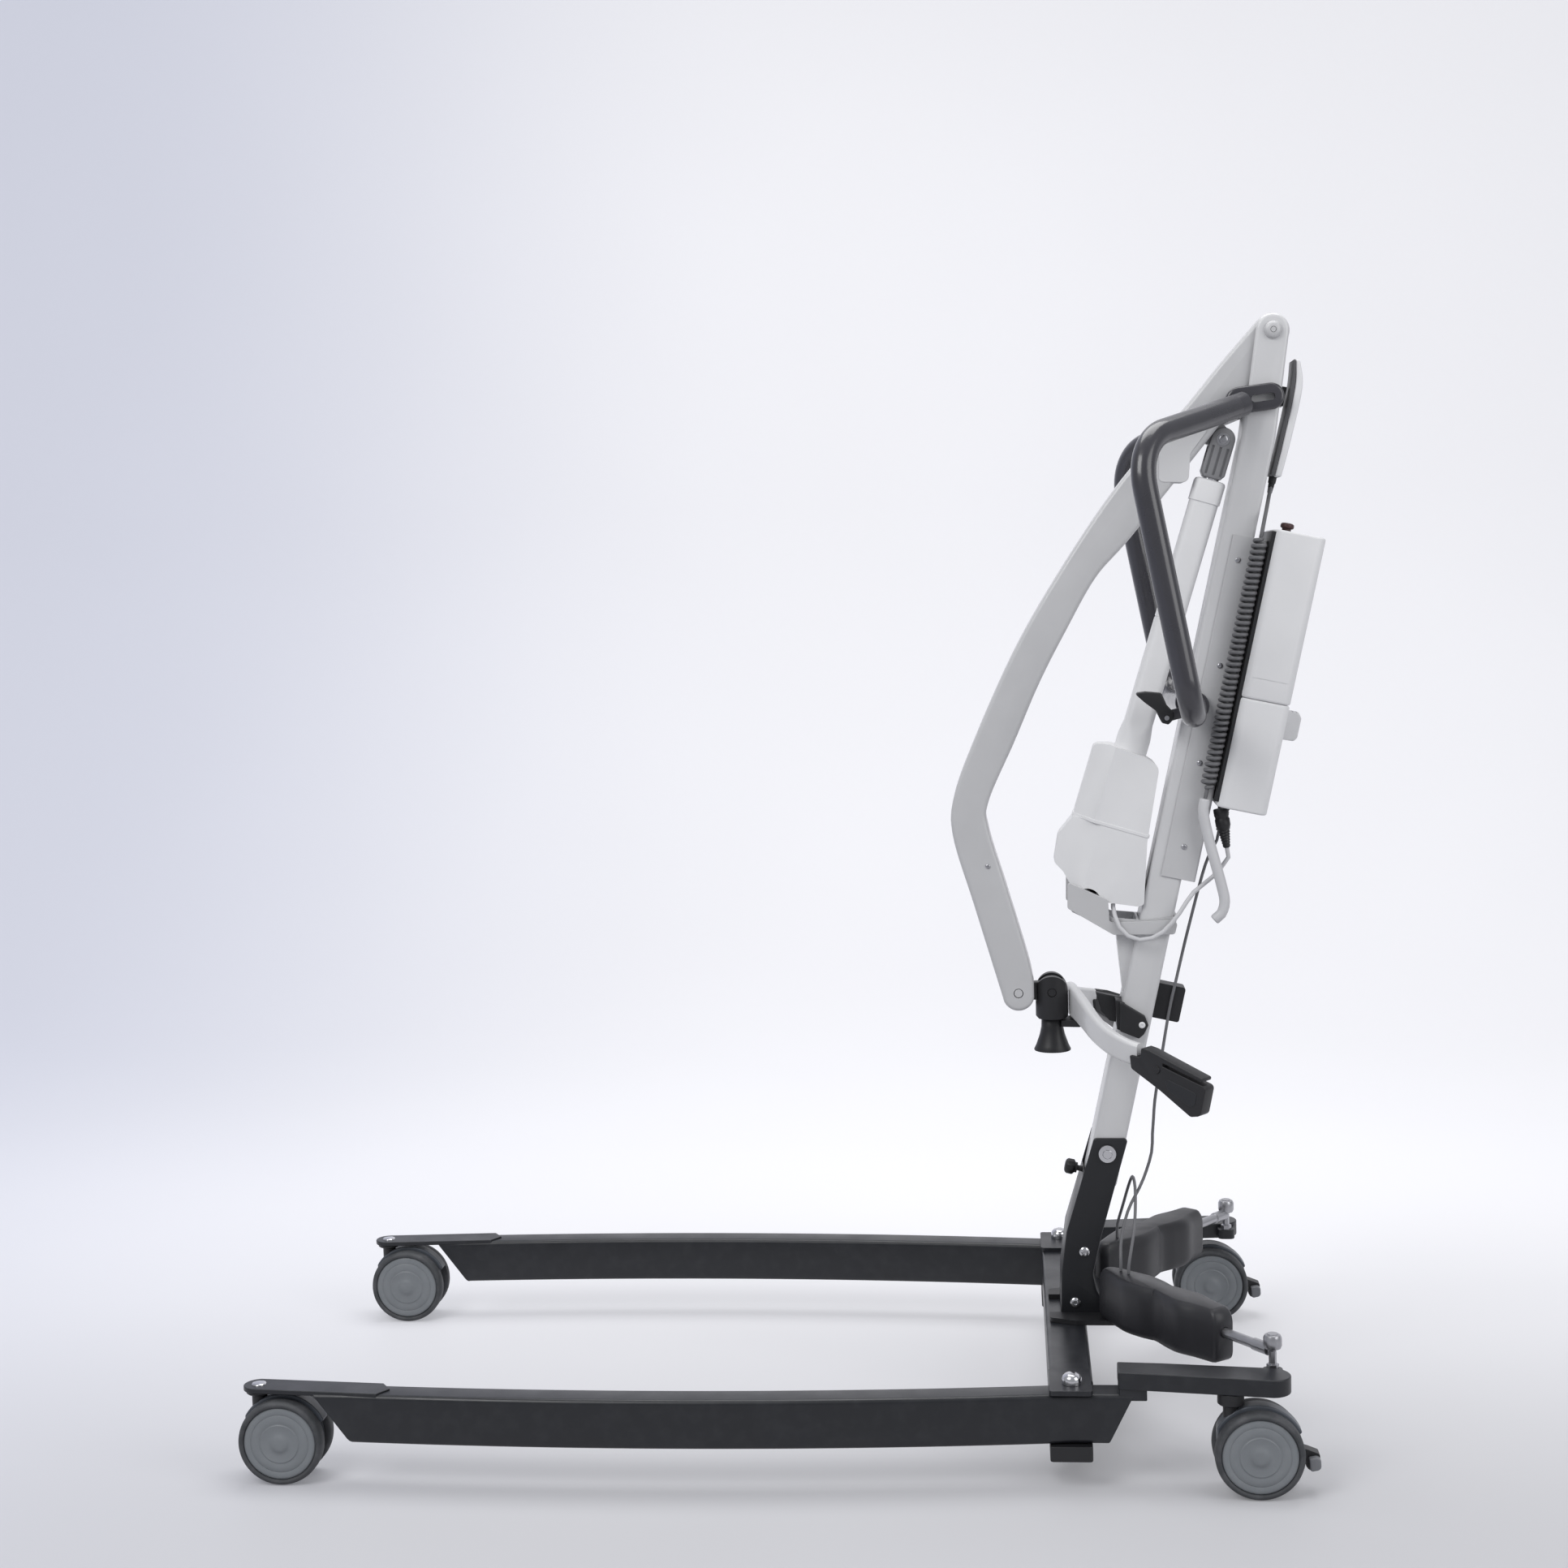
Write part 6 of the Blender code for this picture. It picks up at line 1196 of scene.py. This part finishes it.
def make_bar():
    """Bent bar, thinner towards its ends, and a padded hook on each end."""
    line = even_line(bar_line(), 0.004)
    rings = []
    for i, point in enumerate(line):
        ahead = (line[min(i + 1, len(line) - 1)] - line[max(i - 1, 0)]).normalized()
        aside = Vector((ahead.y, -ahead.x, 0)).normalized()
        share = min(1.0, abs(point.y) / 0.18)
        tall = BAR_TALL - 0.0055 * share
        thick = BAR_THICK - 0.001 * share
        section = rounded_box(-thick, thick, -tall, tall, thick * 0.85, 8)
        rings.append([point + aside * a + Vector((0, 0, b)) for a, b in section])
    make_piece("bar_tube", loft(rings), "mast_paint", "spreader", "spreader_bar", sharp=50)
    line = even_line(bar_line(), 0.0235)
    hook = rounded(mm((-8, 1, 2), (7.5, -0.5, 3), (8, 11.8, 3), (20, 9.5, 10), (92.5, -15, 3), (91.5, -19, 1),
                      (38.1, -3.5, 1.2), (37.3, -6.9, 1.2), (96.5, -24.5, 5), (88.5, -59, 7), (75, -61.5, 6),
                      (32, -35, 12), (-6, -15, 5)), 6)
    pad = rounded(mm((40, -20, 4), (85, -33, 4), (80, -52, 6), (45, -34, 6)), 6)
    pads = joined(prism(pad, -0.0101, -0.009), prism(pad, 0.009, 0.0101))
    pin = rod_between((0.03, -0.011, -0.012), (0.03, 1.0, -0.012),
                      mm((0, 0), (4, 0), (4.6, 0.8), (4.6, 21.2), (4, 22), (0, 22)), 32)
    for (name, side), end, inner in zip(SIDES, (line[0], line[-1]), (line[1], line[-2])):
        ahead = end - inner
        holder = SWIVEL @ at(*end, atan2(ahead.y, ahead.x), "Z")
        make_piece(f"hook_body_{name}", eased(prism(hook, -0.0095, 0.0095), 0.0018, 3, 50), "black", "spreader",
                   f"hook_{name}", holder=holder)
        make_piece(f"hook_pads_{name}", pads, "socket", "spreader", holder=holder,
                   bevel=0.0005)
        make_piece(f"hook_pin_{name}", pin, "zinc" if side > 0 else "black", "spreader", holder=holder,
                   sharp=50)


def square_ring(half_x, half_y, z, radius):
    return [(x, y, z) for x, y in rounded_box(-half_x, half_x, -half_y, half_y, radius, 8)]


def make_actuator():
    """Motor housing with its chamfers and raised band, the square outer tube with its cap, and the rod's fork."""
    seam = 0.0955
    corners = mm((-27.2, 15.8, 4), (-38.2, 26.7, 4), (-52, 34, 8), (-56.5, 69.2, 20), (-45.2, 95.5, 10),
                 (-45.1, 188.2, 6), (-26.8, 192.5, 8), (17.9, 189.6, 12), (37.3, 183.3, 12), (49.2, 90.5, 30),
                 (67.1, 15.5, 5), (60.2, 11.6, 4), (24.8, 6.1, 10))
    upper = mm((-20, 34), (-70, -6), (-90, 50), (-20, 50))
    lower = mm((-10, 34), (-100, -4.7), (-100, 50), (-10, 50))
    chamfers = [slab(mirrored(outline, side), low, high) for side in (-1, 1)
                for outline, low, high in ((upper, seam, 0.3), (lower, -0.05, seam))]
    body = carve(prism(rounded(corners, 6), -HOUSING_HALF, HOUSING_HALF), *chamfers)
    slots = [flank(arc(0, 0, 0.0165, -60, 240, 40), side, 0.007, 0.04) for side in (-1, 1)]
    pin_hole = cross_rod(0, 0, THROUGH, PIN_HOLE)
    body = carve(eased(body, 0.0032, 4, 24), *slots, pin_hole, lathe([(0.0208, 0.1897), (0.0208, 0.3)], 48))
    make_piece("motor_housing_shell", body, "plastic", "actuator", "motor_housing", sharp=30)
    band = mm((-46.2, -13.4, 3), (-20.4, -34.9, 3), (50, -34.9, 3), (50, 34.9, 3), (-20.4, 34.9, 3),
              (-46.2, 13.4, 3))
    make_piece("housing_band", slab(rounded(band, 5), seam, 0.0998), "plastic", "actuator", bevel=0.0008)
    foot = [(-0.011, 0.06), *arc(0, 0, 0.011, 180, 360, 30), (0.011, 0.06)]
    make_piece("housing_foot", carve(prism(foot, -0.007, 0.007), pin_hole), "plastic", "actuator", bevel=0.0008)
    top = ACTUATOR_LENGTH - 0.05
    cap = top - 0.028
    rings = [square_ring(0.0205, 0.0205, 0.1895, 0.02), square_ring(0.0205, 0.0205, 0.208, 0.02),
             square_ring(0.0192, 0.019, 0.216, 0.015), square_ring(0.0173, 0.0165, 0.226, 0.008)]
    rings += [square_ring(0.0173 + grow, 0.0165 + grow, z, 0.008) for z, grow in (
        (0.356, 0), (0.3564, -0.0007), (0.3576, -0.0007), (0.358, 0), (cap, 0), (cap + 0.0002, 0.0014),
        (top - 0.004, 0.0014), (top - 0.0012, 0.0004), (top, -0.0022))]
    bore = lathe([(0.0106, 0.255), (0.0106, 0.7)], 48)
    make_piece("outer_tube", carve(loft(rings), bore), "plastic", "actuator", "actuator_tube", sharp=40)
    holder = ACTUATOR @ at(0, 0, ACTUATOR_LENGTH)
    rod = lathe([(0.01, 0.262 - ACTUATOR_LENGTH), (0.01, -0.034)], 48)
    make_piece("rod_round", rod, "chrome", "actuator_rod", "actuator_rod", holder=holder, sharp=50)
    fork = arc(0, 0, 0.0145, 0, 180, 32) + mm((-14.5, -42), (-10.5, -48), (10.5, -48), (14.5, -42))
    cuts = [block(-0.03, 0.03, -0.008, 0.008, -0.03, 0.03)]
    for near, far in ((-0.02, -0.0128), (0.0128, 0.02)):
        cuts += [block(x - 0.0016, x + 0.0016, near, far, -0.044, -0.0095) for x in (-0.009, 0.0002, 0.009)]
    make_piece("fork_block", carve(eased(prism(fork, -0.015, 0.015), 0.0014, 3, 50), *cuts), "fork", "actuator_rod",
               holder=holder, sharp=40)
    washer = mm((0, 0), (7.8, 0), (7.8, 0.9), (5.2, 1), (5, 2), (4, 2.4), (0, 2.4))
    for name, side in SIDES:
        make_piece(f"fork_bolt_{name}", rod_between((0, side * 0.0149, 0), (0, side, 0), washer, 40), "zinc",
                   "actuator_rod", holder=holder, sharp=40)


def make_drives():
    """Leg drives: wavy moulded pods on pins, and rods with a ball joint over each leg's stud."""
    x, y = DRIVE_PIVOT
    low, high = DRIVE_LOW, DRIVE_HIGH
    wide, length = 0.026, 0.205
    reach = hypot(BALL[0] - x, BALL[1] - y)
    middle = (low + high) / 2 + 0.004
    wave = smooth_line([(0.03, 0.02), (0.055, wide), (0.08, wide - 0.002), (0.104, wide - 0.008),
                        (0.128, wide - 0.003), (0.152, wide), (0.178, wide - 0.007),
                        (length - 0.003, wide - 0.011)], 56)
    upper = [(0.01, 0.0135), *wave, (length, wide - 0.014)]
    outline = upper + [(a, -b) for a, b in reversed(upper)] + arc(0, 0, 0.013, 125, 235, 20)[::-1]
    layers = ((0.005, low), (0.002, low + 0.0025), (0.0005, low + 0.006), (0.0, low + 0.01), (0.0, high - 0.017),
              (0.0008, high - 0.012), (0.0026, high - 0.007), (0.0052, high - 0.0032), (0.0085, high - 0.0008),
              (0.012, high))
    start, end = (0.13, 0, middle), (0.3, 0, middle)
    holes = (lathe([(0.0056, low - 0.01), (0.0056, high - 0.0112)], 40),
             rod_between(start, end, [(0.0066, 0.0), (0.0066, 0.17)], 32))
    shaft = reach - ROD_START
    profile = [(0.006, 0.0), (0.006, shaft - 0.03), (0.0072, shaft - 0.029), (0.0072, shaft - 0.006)]
    rod = rod_between((ROD_START, 0, middle), end, profile, 32)
    ball = mm((0, -9.5), (6, -9.5), (9.2, -8), (10.5, -4.5), (10.5, 4), (9, 7.2), (6.2, 8.2), (6.2, 8.8), (0, 9))
    for name, side in SIDES:
        holder = BASE @ at(x, side * y, 0, atan2(side * (BALL[1] - y), BALL[0] - x), "Z")
        rings = []
        for inset, z in layers:
            rings.append([(a - inset * (1 if a > 0.1 else -1 if a < 0.005 else 0), side * b * (1 - inset / 0.034),
                           z) for a, b in outline])
        make_piece(f"pod_{name}", carve(loft(rings), *holes), "pod", f"drive_{name}", f"drive_housing_{name}",
                   holder=holder, sharp=45)
        body = f"drive_rod_{name}"
        make_piece(f"{body}_bar", rod, "zinc", body, body, holder=holder, sharp=40)
        make_piece(f"ball_joint_{name}", lathe(ball, 48, place=(reach, 0, BALL[2])), "zinc", body, holder=holder,
                   sharp=40)




def paint_nodes():
    """The CAD nodes that stay on show get their look and softer edges."""
    for name in ("actuator_bracket", "drive_bracket", "button_up", "button_down", "cable_clip", "handset_hook"):
        shown = frame["nodes"][name]
        shown.data.materials.clear()
        shown.data.materials.append(LOOKS["plate" if name == "actuator_bracket" else "black"])
        soften(shown, 0.0006, SHARP, 2)


make_camera()
make_light()
make_floor()
make_cords()
paint_nodes()
make_base()
make_mast_group()
make_boom()
make_hanger()
make_bar()
make_actuator()
make_drives()
